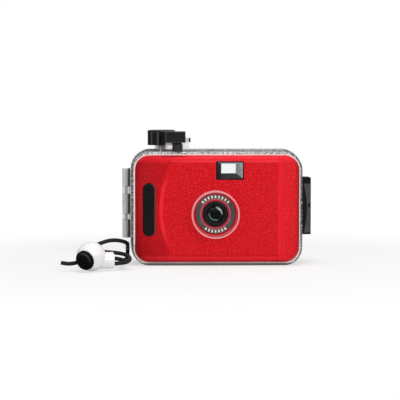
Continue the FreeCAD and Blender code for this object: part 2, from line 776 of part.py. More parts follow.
# Black fluted winding knob
def winding_knob():
    body = doc.addObject("PartDesign::Body", "knob")
    outline = top_sketch(body, "knob_outline", "knob_x", "knob_y", KNOB_BASE)
    draw_circle(outline, "rim", "knob_r")
    pad = body.newObject("PartDesign::Pad", "knob_pad")
    pad.Profile = outline
    bind(pad, Length="knob_height")
    doc.recompute()
    top = number(f"{KNOB_BASE} + knob_height")
    rim = [f"Edge{index}" for index, edge in enumerate(pad.Shape.Edges, start=1)
           if edge.BoundBox.ZMin > top - 0.01]
    rounded = body.newObject("PartDesign::Fillet", "knob_round")
    rounded.Base = (pad, rim)
    bind(rounded, Radius="knob_round")
    flute = top_sketch(body, "knob_flute", "knob_x", "knob_y", f"{KNOB_BASE} - 1")
    draw_circle(flute, "flute", "flute_r", "knob_r + flute_out")
    groove = body.newObject("PartDesign::Pocket", "knob_groove")
    groove.Profile = flute
    groove.Reversed = True
    bind(groove, Length="knob_height - knob_round")
    rows = body.newObject("PartDesign::PolarPattern", "knob_grooves")
    rows.Originals = [groove]
    rows.Axis = (flute, ["N_Axis"])
    rows.Angle = 360
    bind(rows, Occurrences="knob_flutes")
    body.Tip = rows
    socket = rod("knob_socket", "Z", "shaft_r", (f"{KNOB_BASE} - 1", f"{KNOB_BASE} + shaft_grip"),
                 ("knob_x", "knob_y"))
    return cut("fluted_knob", body, socket)


# Shaft of the knob, with the flat blade that turns the camera's wheel
def knob_shaft():
    knob = ("knob_x", "knob_y")
    foot = f"({WHEEL_TOP} + shaft_lift)"
    shaft = rod("shaft_rod", "Z", "shaft_r", (foot, f"{KNOB_BASE} + shaft_grip"), knob)
    blade = box("shaft_blade", ("knob_x - blade_width / 2", "knob_x + blade_width / 2"),
                ("knob_y - blade_thick / 2", "knob_y + blade_thick / 2"),
                (f"{foot} - blade_length", f"{foot} + 2 * fit"))
    return fuse("shaft", shaft, blade)


# Black shutter lever on its pin
def shutter_lever():
    across = ("button_x - lever_left", "button_x + lever_right")
    top = f"({PIN_Z} + lever_top)"
    front = f"({PIN_Y} - apron_reach)"
    cap = box("lever_cap", across, (front, f"{PIN_Y} + lever_back"), (f"{top} - lever_cap", top))
    apron = box("lever_apron", across, (front, f"{front} + lever_apron"), (f"{PIN_Z} - apron_drop", top))
    inner = "(ear_inner / 2 - loose)"
    waist = (f"button_x - {inner}", f"button_x + {inner}")
    hub = rod("lever_hub", "X", "lever_hub_r", waist, (PIN_Y, PIN_Z))
    neck = box("lever_neck", waist, (f"{PIN_Y} - lever_arm - lever_nose", f"{PIN_Y} + lever_back"),
               (f"{PIN_Z} - lever_neck_drop", f"{top} - lever_cap / 2"))
    hole = rod("lever_hole", "X", "lever_pin_r + running", ("button_x - ear_inner", "button_x + ear_inner"),
               (PIN_Y, PIN_Z))
    solid = fuse("lever_solid", cap, apron, hub, neck)
    return cut("lever", solid, hole)


# Coil springs: a helix of biarcs, with short straight ends
def biarc(start, heading, end, arrival):
    """Two arcs that join two points and leave each along its own heading."""
    gap = end - start
    total = heading + arrival
    lean = 2 * (1 - heading.dot(arrival))
    along = gap.dot(total)
    reach = (-along + math.sqrt(along * along + lean * gap.dot(gap))) / lean
    middle = (start + end + (heading - arrival) * reach) * 0.5
    arcs = []
    for first, corner, last in ((start, start + heading * reach, middle),
                                (middle, end - arrival * reach, end)):
        chord = (first + last) * 0.5
        rise = corner - chord
        share = (last - first).Length / 2 / reach
        arcs.append(Part.Arc(first, chord + rise * (share / (1 + share)), last).toShape())
    return arcs


def coil_spring(name, radius, wire, base, top, turns, at):
    """A compression spring between two heights."""
    play = SIZES["spring_play"]
    centre = point(at[0], at[1], f"({base}) + {play}")
    mid_radius = number(radius) - number(wire) / 2
    wire_r = number(wire) / 2
    rise = number(f"({top}) - ({base})") - 2 * wire_r - 2 * play
    climb = rise / (2 * math.pi * turns)
    quarters = 4 * turns

    def spot(angle):
        return centre + FreeCAD.Vector(mid_radius * math.cos(angle), mid_radius * math.sin(angle),
                                       wire_r + climb * angle)

    def heading(angle):
        direction = FreeCAD.Vector(-mid_radius * math.sin(angle), mid_radius * math.cos(angle), climb)
        return direction.normalize()

    first, last = 0.0, 2 * math.pi * turns
    edges = [Part.LineSegment(spot(first) - heading(first) * 2 * wire_r, spot(first)).toShape()]
    for index in range(quarters):
        a = last * index / quarters
        b = last * (index + 1) / quarters
        edges += biarc(spot(a), heading(a), spot(b), heading(b))
    edges.append(Part.LineSegment(spot(last), spot(last) + heading(last) * 2 * wire_r).toShape())
    path = Part.Wire(edges)
    section = Part.Wire(Part.Circle(path.Edges[0].firstVertex().Point, heading(first), wire_r).toShape())
    solid = path.makePipeShell([section], True, False)
    print(f"{name}: least gap between turns {rise / turns - 2 * wire_r:.2f} mm")
    spring = doc.addObject("Part::Feature", name)
    spring.Shape = solid
    return spring


def sloped_block():
    """The straight sides of the raised panel, which spread towards the back."""
    wedge = doc.addObject("Part::Wedge", "panel_block")
    low = f"{CAM_FLOOR} + panel_margin"
    high = f"{CAM_TOP} - panel_margin"
    bind(wedge, Xmin=f"-{CAM_HALF}", Xmax=PANEL_RIGHT, Zmin=low, Zmax=high)
    bind(wedge, X2min=f"-{CAM_HALF}", X2max=f"{PANEL_RIGHT} + {PANEL_SPREAD}")
    bind(wedge, Z2min=f"{low} - {PANEL_SPREAD}", Z2max=f"{high} + {PANEL_SPREAD}")
    bind(wedge, Ymin="0", Ymax=f"{PANEL_BACK} - {PANEL_FRONT}")
    return place(wedge, "0", PANEL_FRONT, "0")


def sloped_disc():
    """The round left side of the raised panel, which spreads towards the back."""
    cone = doc.addObject("Part::Cone", "panel_disc")
    cone.Placement = FreeCAD.Placement(FreeCAD.Vector(), TURNS["Y"])
    bind(cone, Radius1="panel_arc_r", Radius2=f"panel_arc_r + {PANEL_SPREAD}")
    bind(cone, Height=f"{PANEL_BACK} - {PANEL_FRONT}")
    return place(cone, PANEL_ARC_X, PANEL_FRONT, "panel_arc_z")


# Red front cover of the camera
def front_cover():
    outside = slab("cover_outside", CAM_HALF, CAM_FLOOR, CAM_TOP, "camera_corner",
                   (CAM_FRONT, "cover_seam_y"), "camera_edge", CAM_FRONT)
    inside = slab("cover_inside", f"{CAM_HALF} - camera_wall", f"{CAM_FLOOR} + camera_wall",
                  f"{CAM_TOP} - camera_wall", "camera_corner - camera_wall",
                  (COVER_INNER, "cover_seam_y + 1"), "camera_edge / 2", COVER_INNER)
    panel = shared("panel", sloped_block(), sloped_disc())
    post_span = (f"{COVER_INNER} - camera_wall / 2", "cover_seam_y")
    hole_span = (f"{FRONT_PLATE} - screw_length - loose", "0")
    posts = [rod(f"screw_post_{index}", "Y", "screw_post_r", post_span, spot)
             for index, spot in enumerate(SCREWS)]
    screw_holes = [rod(f"cover_screw_hole_{index}", "Y", "screw_r + running", hole_span, spot)
                   for index, spot in enumerate(SCREWS)]
    lens_hole = rod("cover_lens_hole", "Y", "ring_r + ring_play",
                    (f"{PANEL_FRONT} - 1", f"{COVER_INNER} + 1"), ("lens_x", "lens_z"))
    finder_hole = box("cover_finder_hole", ("finder_x - finder_width / 2", "finder_x + finder_width / 2"),
                      (f"{PANEL_FRONT} - 1", f"{COVER_INNER} + 2"),
                      (f"{FINDER_Z} - finder_height / 2", f"{FINDER_Z} + finder_height / 2"))
    button_hole = rod("cover_button_hole", "Z", "button_r + 2 * fit",
                      (f"{CAM_TOP} - 2 * camera_wall", f"{CAM_TOP} + 1"), ("button_x", "button_y"))
    recess = pill("cover_grip_recess", "grip_width / 2 + fit", f"{PANEL_FRONT} - 1",
                  f"{CAM_FRONT} + grip_inset")
    solid = fuse("cover_solid", cut("cover_shell", outside, inside), panel, *posts)
    return cut("cover", solid, lens_hole, finder_hole, button_hole, recess, *screw_holes)


def pill(name, radius, front, back):
    """An upright strip with round ends, between two depths."""
    end = "(grip_length - grip_width) / 2"
    span = (front, back)
    return fuse(name,
                box(name + "_middle", (f"{GRIP_X} - ({radius})", f"{GRIP_X} + ({radius})"), span,
                    (f"grip_z - {end}", f"grip_z + {end}")),
                rod(name + "_low", "Y", radius, span, (GRIP_X, f"grip_z - {end}")),
                rod(name + "_high", "Y", radius, span, (GRIP_X, f"grip_z + {end}")))


def taper(name, front, back, half_front, half_back):
    """A tapered block about the viewfinder's axis."""
    wedge = doc.addObject("Part::Wedge", name)
    bind(wedge, Xmin=f"-({half_front[0]})", Xmax=half_front[0])
    bind(wedge, Zmin=f"-({half_front[1]})", Zmax=half_front[1])
    bind(wedge, X2min=f"-({half_back[0]})", X2max=half_back[0])
    bind(wedge, Z2min=f"-({half_back[1]})", Z2max=half_back[1])
    bind(wedge, Ymin="0", Ymax=f"({back}) - ({front})")
    return place(wedge, "finder_x", front, FINDER_Z)


# Black viewfinder tunnel with its two clear windows
def viewfinder():
    wide = ("finder_width / 2 - fit", "finder_height / 2 - fit")
    narrow = ("finder_back_width / 2", "finder_back_height / 2")
    less = [(f"{half[0]} - finder_wall", f"{half[1]} - finder_wall") for half in (wide, narrow)]
    outside = taper("finder_outside", FINDER_FRONT, FINDER_BACK, wide, narrow)
    inside = taper("finder_inside", FINDER_FRONT, FINDER_BACK, *less)
    node("viewfinder_frame", cut("finder", outside, inside))
    front = f"({FINDER_FRONT} + finder_window_inset)"
    node("viewfinder_front_window", finder_pane("front_pane", front, less[0], "finder_window_play"))
    back = f"({FINDER_BACK} - finder_window)"
    node("viewfinder_eyepiece", finder_pane("eyepiece_pane", back, less[1], "running"))


def finder_pane(name, start, half, play):
    """A clear window inside the viewfinder, with play on each side."""
    reach = [f"({half[0]} - {play})", f"({half[1]} - {play})"]
    return box(name, (f"finder_x - {reach[0]}", f"finder_x + {reach[0]}"),
               (start, f"{start} + finder_window"),
               (f"{FINDER_Z} - {reach[1]}", f"{FINDER_Z} + {reach[1]}"))


# Lens: barrel with its flange, name ring, trim ring, two glasses, aperture
def lens_group():
    lens = ("lens_x", "lens_z")
    tube = rod("barrel_tube", "Y", "barrel_r", ("-barrel_front", "-barrel_back"), lens)
    flange_span = (FLANGE_FRONT, f"{FLANGE_FRONT} + barrel_flange")
    flange = rod("barrel_flange", "Y", "barrel_flange_r", flange_span, lens)
    bore = rod("barrel_bore", "Y", "barrel_bore_r", ("-barrel_front - 1", "-barrel_back + 1"), lens)
    node("lens_barrel", cut("barrel", fuse("barrel_solid", tube, flange), bore))
    node("lens_name_ring", ring("name_ring", "Y", "ring_r", "ring_inner_r",
                                (f"{FLANGE_FRONT} - ring_height", FLANGE_FRONT), lens))
    node("lens_trim_ring", ring("trim_ring", "Y", "ring_inner_r - running", "trim_inner_r",
                                (f"{FLANGE_FRONT} - trim_height", FLANGE_FRONT), lens))
    for name, front in (("lens_front_glass", "glass_front"), ("lens_rear_glass", "glass_rear")):
        glass = rod(name + "_disc", "Y", "barrel_bore_r - running",
                    (f"-{front}", f"-{front} + glass_thick"), lens)
        dome = doc.addObject("Part::Sphere", name + "_dome")
        bind(dome, Radius="glass_dome_r")
        place(dome, "lens_x", f"-{front} + glass_dome_r", "lens_z")
        node(name, shared(name + "_solid", glass, dome))
    node("aperture_plate", ring("aperture", "Y", "barrel_bore_r - running", "aperture_r",
                                ("-aperture_y - aperture_thick", "-aperture_y"), lens))


# Shutter blade on its post behind the lens
def shutter_blade():
    span = ("-blade_y", "-blade_y + blade_sheet")
    pivot = ("lens_x", "lens_z + blade_arm")
    disc = rod("blade_disc", "Y", "blade_r", span, ("lens_x", "lens_z"))
    arm = box("blade_arm", ("lens_x - blade_hub_r * 0.6", "lens_x + blade_hub_r * 0.6"), span,
              ("lens_z", "lens_z + blade_arm"))
    hub = rod("blade_hub", "Y", "blade_hub_r", span, pivot)
    hole = rod("blade_hole", "Y", "post_r + running", ("-blade_y - 1", "-blade_y + 1"), pivot)
    return cut("blade", fuse("blade_solid", disc, arm, hub), hole)


# Black chassis: rim, plates, film chambers, dark box, cups and posts
def chassis():
    rim_outer = slab("rim_outer", CAM_HALF, CAM_FLOOR, CAM_TOP, "camera_corner",
                     ("cover_seam_y", "door_seam_y"))
    rim_inner = slab("rim_inner", f"{CAM_HALF} - plate", f"{CAM_FLOOR} + plate", CHASSIS_TOP,
                     "camera_corner - plate", (FRONT_PLATE, "door_seam_y + 1"))
    shell = cut("chassis_shell", rim_outer, rim_inner)
    gate_half = "(gate_width / 2 + plate)"
    box_x = (f"lens_x - {gate_half}", f"lens_x + {gate_half}")
    box_z = ("lens_z - gate_height / 2 - plate", "lens_z + gate_height / 2 + plate")
    chamber_x = f"({CAM_HALF} - plate)"
    deep = (f"{FRONT_PLATE} - plate / 2", "film_y")
    between = (SHELF_LOW, SHELF_HIGH)
    tall = (f"{SHELF_LOW} - shelf", f"{SHELF_HIGH} + shelf")
    dark = box("dark_box", box_x, deep, box_z)
    gate = box("gate_plate", box_x, (GATE_Y, "film_y"), between)
    shelves = [box("shelf_low", ("-spool_wall_x - shelf", chamber_x), deep, (tall[0], SHELF_LOW)),
               box("shelf_high", ("-spool_wall_x - shelf", chamber_x), deep, (SHELF_HIGH, tall[1]))]
    spool_wall = box("spool_wall", ("-spool_wall_x - shelf", "-spool_wall_x"), deep, between)
    spool_side = box("spool_side", (f"lens_x - {gate_half}", "lens_x - gate_width / 2"),
                     (deep[0], GATE_Y), between)
    tube = rod("chamber_tube", "Z", "cartridge_r + shelf", tall, (CARTRIDGE_X, "cartridge_y"))
    chamber_side = box("chamber_side", (f"{CARTRIDGE_X} + cartridge_r", chamber_x), deep, tall)
    tube_wall = box("chamber_wall", (f"{CARTRIDGE_X} - cartridge_r - shelf", chamber_x),
                    ("cartridge_y", "film_y"), tall)
    tube_back = box("chamber_back", (f"{CARTRIDGE_X} - 2 * cartridge_r", f"{CARTRIDGE_X} + 2 * cartridge_r"),
                    ("film_y", "film_y + 2 * cartridge_r"),
                    (f"{SHELF_LOW} - cartridge_r", f"{SHELF_HIGH} + cartridge_r"))
    chamber = cut("chamber_solid", fuse("chamber_union", tube, tube_wall, chamber_side), tube_back)
    wheel_cup = rod("wheel_cup", "Z", "wheel_r + wheel_play + cup_wall",
                    (f"{WHEEL_BASE} - loose - cup_wall", f"{CAM_TOP} - plate / 2"), ("knob_x", "knob_y"))
    crank_cup = rod("crank_cup", "Z", "crank_r + crank_play + cup_wall",
                    (f"{CRANK_BASE} - loose - cup_wall", f"{CAM_TOP} - plate / 2"),
                    (CARTRIDGE_X, "cartridge_y"))
    root = "cover_seam_y + plate / 2"
    post = rod("blade_post", "Y", "post_r", ("-blade_y - post_end", root), ("lens_x", "lens_z + blade_arm"))
    trigger_post = rod("trigger_post", "Y", "post_r", (f"{TRIGGER_Y[0]} - post_end", root),
                       (TRIGGER_X, "trigger_z"))
    spacer = rod("trigger_spacer", "Y", "post_r * 2", (f"{TRIGGER_Y[1]} + fit", root),
                 (TRIGGER_X, "trigger_z"))
    bracket = box("button_bracket", ("button_x - bracket_half", "button_x + bracket_half"),
                  ("button_y - bracket_front", root), (BRACKET_Z, f"{BRACKET_Z} + shelf"))
    knuckles = []
    for index, start in enumerate((KNUCKLE_LOW, KNUCKLE_HIGH)):
        span = (start, f"{start} + film_knuckle")
        knuckles.append(rod(f"chassis_knuckle_{index}", "Z", "film_hinge_r", span,
                            (FILM_HINGE_X, "film_hinge_y")))
        knuckles.append(box(f"chassis_web_{index}",
                            (f"{FILM_HINGE_X} - film_hinge_r * 0.9", f"{FILM_HINGE_X} + film_hinge_r"),
                            ("door_seam_y - plate", "film_hinge_y"), span))
    solid = fuse("chassis_solid", shell, dark, gate, *shelves, spool_wall, spool_side, chamber,
                 wheel_cup, crank_cup, post, trigger_post, spacer, bracket, *knuckles)
    cuts = [
        box("gate_window", ("lens_x - gate_width / 2", "lens_x + gate_width / 2"),
            (FRONT_PLATE, "film_y + 1"), ("lens_z - gate_height / 2", "lens_z + gate_height / 2")),
        rod("chassis_lens_hole", "Y", "barrel_bore_r", ("cover_seam_y - 1", f"{FRONT_PLATE} + 1"),
            ("lens_x", "lens_z")),
        rod("chamber_bore", "Z", "cartridge_r", (SHELF_LOW, SHELF_HIGH), (CARTRIDGE_X, "cartridge_y")),
        box("chamber_mouth", (f"{CARTRIDGE_X} - cartridge_r", f"{CARTRIDGE_X} + cartridge_r"),
            ("cartridge_y", "film_y + 1"), (SHELF_LOW, SHELF_HIGH)),
        rod("wheel_room", "Z", "wheel_r + wheel_play", (f"{WHEEL_BASE} - loose", f"{CAM_TOP} + 1"),
            ("knob_x", "knob_y")),
        rod("crank_room", "Z", "crank_r + crank_play", (f"{CRANK_BASE} - loose", f"{CAM_TOP} + 1"),
            (CARTRIDGE_X, "cartridge_y")),
        rod("spool_shaft_hole", "Z", "wheel_shaft_r + running", (f"{SHELF_HIGH} - 1", CAM_TOP),
            ("knob_x", "knob_y")),
        rod("crank_shaft_hole", "Z", "crank_shaft_r + running", (f"{SHELF_HIGH} - 1", CAM_TOP),
            (CARTRIDGE_X, "cartridge_y")),
        rod("spool_journal_hole", "Z", "spool_journal_r + running",
            (f"{SHELF_LOW} - shelf - 1", f"{SHELF_LOW} + 1"), ("knob_x", "knob_y")),
        rod("sprocket_hole", "Z", "sprocket_shaft_r + running",
            (f"{SHELF_LOW} - shelf - 1", f"{SHELF_HIGH} + shelf + 1"), ("sprocket_x", SPROCKET_Y)),
        rod("release_hole", "Z", "release_r + running", (f"{CAM_FLOOR} - 1", f"{CAM_FLOOR} + plate + 1"),
            ("sprocket_x", SPROCKET_Y)),
        rod("counter_hole", "Z", "counter_window_r + running", (f"{CHASSIS_TOP} - 1", f"{CAM_TOP} + 1"),
            ("counter_x + counter_window_out", "counter_y")),
        rod("counter_pin_hole", "Z", "counter_pin_r + running",
            (f"{CHASSIS_TOP} - 1", f"{CAM_TOP} - counter_pin_sink + fit"), ("counter_x", "counter_y")),
        rod("bracket_hole", "Z", "button_stem_r + running", (f"{BRACKET_Z} - 1", f"{BRACKET_Z} + shelf + 1"),
            ("button_x", "button_y")),
        rod("film_pin_hole", "Z", "film_pin_r + running",
            (f"{KNUCKLE_LOW} - 1", f"{KNUCKLE_HIGH} + film_knuckle + 1"), (FILM_HINGE_X, "film_hinge_y")),
        box("tongue_room", (f"{TONGUE_LEFT} - loose", f"{TONGUE_RIGHT} + running"),
            (f"{TONGUE_TIP} - loose", "door_seam_y + 1"),
            (f"{TONGUE_Z} - loose", f"{TONGUE_Z} + tongue_height + running")),
        taper("finder_room", FINDER_FRONT, FINDER_BACK,
              ("finder_width / 2 + 2 * fit", "finder_height / 2 + 2 * fit"),
              ("finder_back_width / 2 + loose", "finder_back_height / 2 + loose")),
    ]
    for index, spot in enumerate(SCREWS):
        cuts.append(rod(f"chassis_screw_hole_{index}", "Y", "screw_r + running",
                        ("cover_seam_y - 1", f"{FRONT_PLATE} + 1"), spot))
        cuts.append(rod(f"screw_head_room_{index}", "Y", "screw_head_r + fit",
                        (FRONT_PLATE, f"{FRONT_PLATE} + screw_head + fit"), spot))
        cuts.append(rod(f"screw_post_room_{index}", "Y", "screw_post_r + fit",
                        (COVER_INNER, "cover_seam_y"), spot))
    return cut("chassis", solid, *cuts)


# Wheel on top that the knob turns, with a slot for the blade and a milled rim
def wind_wheel():
    knob = ("knob_x", "knob_y")
    disc = rod("wheel_disc", "Z", "wheel_r", (WHEEL_BASE, WHEEL_TOP), knob)
    shaft = rod("wheel_shaft", "Z", "wheel_shaft_r", (f"{SHELF_HIGH} - spool_socket", WHEEL_BASE), knob)
    play = "blade_play"
    slot = box("wheel_slot", (f"knob_x - blade_width / 2 - {play}", f"knob_x + blade_width / 2 + {play}"),
               (f"knob_y - blade_thick / 2 - {play}", f"knob_y + blade_thick / 2 + {play}"),
               (f"{WHEEL_TOP} + shaft_lift - blade_length - loose", f"{WHEEL_TOP} + 1"))
    notches = []
    through = (f"{WHEEL_BASE} - 1", f"{WHEEL_TOP} + 1")
    for index in range(SIZES["wheel_notches"]):
        angle = 2 * math.pi * index / SIZES["wheel_notches"]
        spot = (f"knob_x + {math.cos(angle):.6f} * wheel_r", f"knob_y + {math.sin(angle):.6f} * wheel_r")
        notches.append(rod(f"wheel_notch_{index}", "Z", "wheel_notch_r", through, spot))
    return cut("wheel", fuse("wheel_solid", disc, shaft), slot, *notches)


# Spool that takes up the film
def take_up_spool():
    knob = ("knob_x", "knob_y")
    low = f"({SHELF_LOW} + loose)"
    high = f"({SHELF_HIGH} - loose)"
    core = rod("spool_core", "Z", "spool_r", (low, high), knob)
    flanges = [rod("spool_flange_low", "Z", "spool_flange_r", (low, f"{low} + spool_flange"), knob),
               rod("spool_flange_high", "Z", "spool_flange_r", (f"{high} - spool_flange", high), knob)]
    journal = rod("spool_journal", "Z", "spool_journal_r", (f"{SHELF_LOW} - shelf", low), knob)
    socket = rod("spool_socket", "Z", "wheel_shaft_r + running",
                 (f"{SHELF_HIGH} - spool_socket", f"{high} + 1"), knob)
    film_slot = box("spool_film_slot", ("knob_x - spool_r - 1", "knob_x + spool_r + 1"),
                    ("knob_y - film_slot / 2", "knob_y + film_slot / 2"),
                    ("lens_z - sprocket_span", "lens_z + sprocket_span"))
    return cut("spool", fuse("spool_solid", core, *flanges, journal), socket, film_slot)


# Toothed drum that meters the film
def film_sprocket():
    at = ("sprocket_x", SPROCKET_Y)
    shaft = rod("sprocket_shaft", "Z", "sprocket_shaft_r",
                (f"{SHELF_LOW} - shelf - sprocket_end", f"{SHELF_HIGH} + shelf + sprocket_end"), at)
    drum = ("lens_z - sprocket_span", "lens_z + sprocket_span")
    pieces = [shaft, rod("sprocket_drum", "Z", "sprocket_r", drum, at)]
    for index in range(SIZES["sprocket_teeth"]):
        angle = 2 * math.pi * (index + 0.5) / SIZES["sprocket_teeth"]
        reach = "(sprocket_r + tooth / 4)"
        spot = (f"sprocket_x + {math.cos(angle):.6f} * {reach}",
                f"{SPROCKET_Y} + {math.sin(angle):.6f} * {reach}")
        for row, side in (("low", "-"), ("high", "+")):
            middle = f"(lens_z {side} (sprocket_span - tooth * 2))"
            pieces.append(rod(f"tooth_{row}_{index}", "Z", "tooth * 0.75",
                              (f"{middle} - tooth / 2", f"{middle} + tooth / 2"), spot))
    return fuse("sprocket", *pieces)


# Frame counter dial under the top, with its little window
def frame_counter():
    at = ("counter_x", "counter_y")
    dial_top = f"({CHASSIS_TOP} - loose)"
    disc = rod("dial_disc", "Z", "counter_r", (f"{dial_top} - counter_thick", dial_top), at)
    pin = rod("dial_pin", "Z", "counter_pin_r",
              (f"{SHELF_HIGH} + shelf + loose", f"{CAM_TOP} - counter_pin_sink"), at)
    node("frame_counter_dial", fuse("dial", disc, pin))
    node("frame_counter_window", rod("dial_window", "Z", "counter_window_r", (CHASSIS_TOP, CAM_TOP),
                                     ("counter_x + counter_window_out", "counter_y")))


# Rewind release button in the camera's floor
def rewind_release():
    at = ("sprocket_x", SPROCKET_Y)
    inside = f"({CAM_FLOOR} + plate)"
    stem = rod("release_stem", "Z", "release_r", (CAM_FLOOR, f"{inside} + release_height"), at)
    flange = rod("release_flange", "Z", "release_flange_r",
                 (f"{inside} + loose", f"{inside} + loose + release_rim"), at)
    return fuse("release_button", stem, flange)


# Rewind crank: disc, folded handle, and the fork that turns the cartridge
def rewind_crank():
    at = (CARTRIDGE_X, "cartridge_y")
    node("rewind_crank", rod("crank_disc", "Z", "crank_r", (CRANK_BASE, CRANK_TOP), at))
    bar = box("handle_bar",
              (f"{CARTRIDGE_X} - crank_r + handle_inset", f"{CARTRIDGE_X} + crank_r - handle_inset"),
              ("cartridge_y - handle_width / 2", "cartridge_y + handle_width / 2"),
              (CRANK_TOP, f"{CRANK_TOP} + handle_height / 2"))
    grip = rod("handle_grip", "Z", "handle_width * 0.7", (CRANK_TOP, f"{CRANK_TOP} + handle_height"),
               (f"{CARTRIDGE_X} + crank_r / 2", "cartridge_y"))
    node("rewind_handle", fuse("handle", bar, grip))
    shaft = rod("fork_shaft", "Z", "crank_shaft_r", (f"{SHELF_HIGH} - loose", CRANK_BASE), at)
    fork = box("fork_blade", (f"{CARTRIDGE_X} - fork_width / 2", f"{CARTRIDGE_X} + fork_width / 2"),
               ("cartridge_y - fork_thick / 2", "cartridge_y + fork_thick / 2"),
               (f"{SHELF_HIGH} - fork_length", SHELF_HIGH))
    node("rewind_fork", fuse("fork", shaft, fork))


# Shutter button with its stem, and the rocker that it presses
def shutter_button():
    at = ("button_x", "button_y")
    head = rod("button_head", "Z", "button_r", (BUTTON_BASE, BUTTON_TOP), at)
    stem = rod("button_stem", "Z", "button_stem_r",
               ("trigger_z + trigger_thick / 2 + loose", BUTTON_BASE), at)
    node("shutter_button", fuse("button", head, stem))
    beam = box("trigger_beam", (f"{TRIGGER_X} - trigger_reach", f"{TRIGGER_X} + trigger_reach"), TRIGGER_Y,
               ("trigger_z - trigger_thick / 2", "trigger_z + trigger_thick / 2"))
    eye = rod("trigger_eye", "Y", "trigger_thick * 0.8", TRIGGER_Y, (TRIGGER_X, "trigger_z"))
    hole = rod("trigger_hole", "Y", "post_r + running", (f"{TRIGGER_Y[0]} - 1", f"{TRIGGER_Y[1]} + 1"),
               (TRIGGER_X, "trigger_z"))
    node("release_lever", cut("trigger", fuse("trigger_solid", beam, eye), hole))


# Film door of the camera, hinged on the left
def film_door():
    outside = slab("film_door_outside", CAM_HALF, CAM_FLOOR, CAM_TOP, "camera_corner",
                   (DOOR_FRONT, CAM_BACK), "door_round", CAM_BACK)
    inside = slab("film_door_inside", f"{CAM_HALF} - camera_wall", f"{CAM_FLOOR} + camera_wall",
                  f"{CAM_TOP} - camera_wall", "camera_corner - camera_wall",
                  (f"{DOOR_FRONT} - 1", DOOR_INNER))
    low = f"({KNUCKLE_LOW} + film_knuckle + knuckle_play)"
    high = f"({KNUCKLE_HIGH} - knuckle_play)"
    knuckle = rod("film_door_knuckle", "Z", "film_hinge_r", (low, high), (FILM_HINGE_X, "film_hinge_y"))
    hinge = (FILM_HINGE_X, "film_hinge_y")
    ends = [rod("film_door_end_low", "Z", "film_hinge_r",
                (f"{CAM_FLOOR} + camera_corner", f"{KNUCKLE_LOW} - knuckle_play"), hinge),
            rod("film_door_end_high", "Z", "film_hinge_r",
                (f"{KNUCKLE_HIGH} + film_knuckle + knuckle_play", f"{CAM_TOP} - knuckle_end"), hinge)]
    tongue = box("film_door_tongue", (TONGUE_LEFT, TONGUE_RIGHT),
                 (TONGUE_TIP, f"{DOOR_INNER} + camera_wall / 2"), (TONGUE_Z, f"{TONGUE_Z} + tongue_height"))
    edge = box("film_door_edge", (f"-{CAM_HALF} - 1", FILM_HINGE_X), (f"{DOOR_FRONT} - 1", "film_hinge_y"),
               (f"{CAM_FLOOR} - 1", f"{CAM_TOP} + 1"))
    rooms = [box(f"film_knuckle_room_{index}", (f"-{CAM_HALF} - 1", f"{FILM_HINGE_X} + knuckle_room"),
                 (f"{DOOR_FRONT} - 1", "film_hinge_y + film_hinge_r + loose"),
                 (f"{start} - knuckle_play", f"{start} + film_knuckle + knuckle_play"))
             for index, start in enumerate((KNUCKLE_LOW, KNUCKLE_HIGH))]
    eyepiece = box("film_door_window", ("finder_x - eyepiece_width / 2", "finder_x + eyepiece_width / 2"),
                   (f"{DOOR_FRONT} - 1", f"{CAM_BACK} + 1"),
                   (f"{FINDER_Z} - eyepiece_height / 2", f"{FINDER_Z} + eyepiece_height / 2"))
    pin_hole = rod("film_door_pin_hole", "Z", "film_pin_r + running", (KNUCKLE_LOW, f"{KNUCKLE_HIGH} + 1"),
                   (FILM_HINGE_X, "film_hinge_y"))
    shell = cut("film_door_shell", outside, inside, edge)
    solid = fuse("film_door_solid", shell, knuckle, *ends, tongue)
    return cut("film_door_cut", solid, *rooms, eyepiece, pin_hole)


# Soft seal between the chassis and the film door, cut away at the knuckles
def light_seal():
    inset = "((plate - seal_width) / 2)"
    strip = frame("light_seal_frame",
                  (f"{CAM_HALF} - {inset}", f"{CAM_FLOOR} + {inset}", f"{CAM_TOP} - {inset}",
                   f"camera_corner - {inset}"),
                  (f"{CAM_HALF} - {inset} - seal_width", f"{CAM_FLOOR} + {inset} + seal_width",
                   f"{CAM_TOP} - {inset} - seal_width", f"camera_corner - {inset} - seal_width"),
                  ("door_seam_y", DOOR_FRONT))
    rooms = [box(f"light_seal_room_{index}", (f"-{CAM_HALF} - 1", f"-{CAM_HALF} + plate + 1"),
                 ("door_seam_y - 1", f"{DOOR_FRONT} + 1"),
                 (f"{start} - knuckle_play", f"{start} + film_knuckle + knuckle_play"))
             for index, start in enumerate((KNUCKLE_LOW, KNUCKLE_HIGH))]
    return cut("light_seal", strip, *rooms)


# Pressure plate that holds the film flat, on its arched spring
def pressure_plate():
    front = "(film_y + film_play)"
    node("pressure_plate", box("pressure_sheet",
                               ("lens_x - pressure_width / 2", "lens_x + pressure_width / 2"),
                               (front, f"{front} + pressure_thick"),
                               ("lens_z - pressure_height / 2", "lens_z + pressure_height / 2")))
    start = number(f"{front} + pressure_thick")
    rise = number(DOOR_INNER) - start
    half = SIZES["leaf_spring_span"] / 2
    thick = SIZES["leaf_spring_sheet"]
    x = SIZES["lens_x"]
    z = number("lens_z - leaf_spring_height / 2")
    vector = FreeCAD.Vector
    outer = [vector(x - half, start, z), vector(x, start + rise, z), vector(x + half, start, z)]
    inner = [vector(x - half + thick, start, z), vector(x, start + rise - thick, z),
             vector(x + half - thick, start, z)]
    edges = [Part.Arc(*outer).toShape(), Part.LineSegment(outer[2], inner[2]).toShape(),
             Part.Arc(inner[2], inner[1], inner[0]).toShape(),
             Part.LineSegment(inner[0], outer[0]).toShape()]
    strip = Part.Face(Part.Wire(edges)).extrude(FreeCAD.Vector(0, 0, SIZES["leaf_spring_height"]))
    spring = doc.addObject("Part::Feature", "pressure_leaf")
    spring.Shape = strip
    node("pressure_spring", spring)


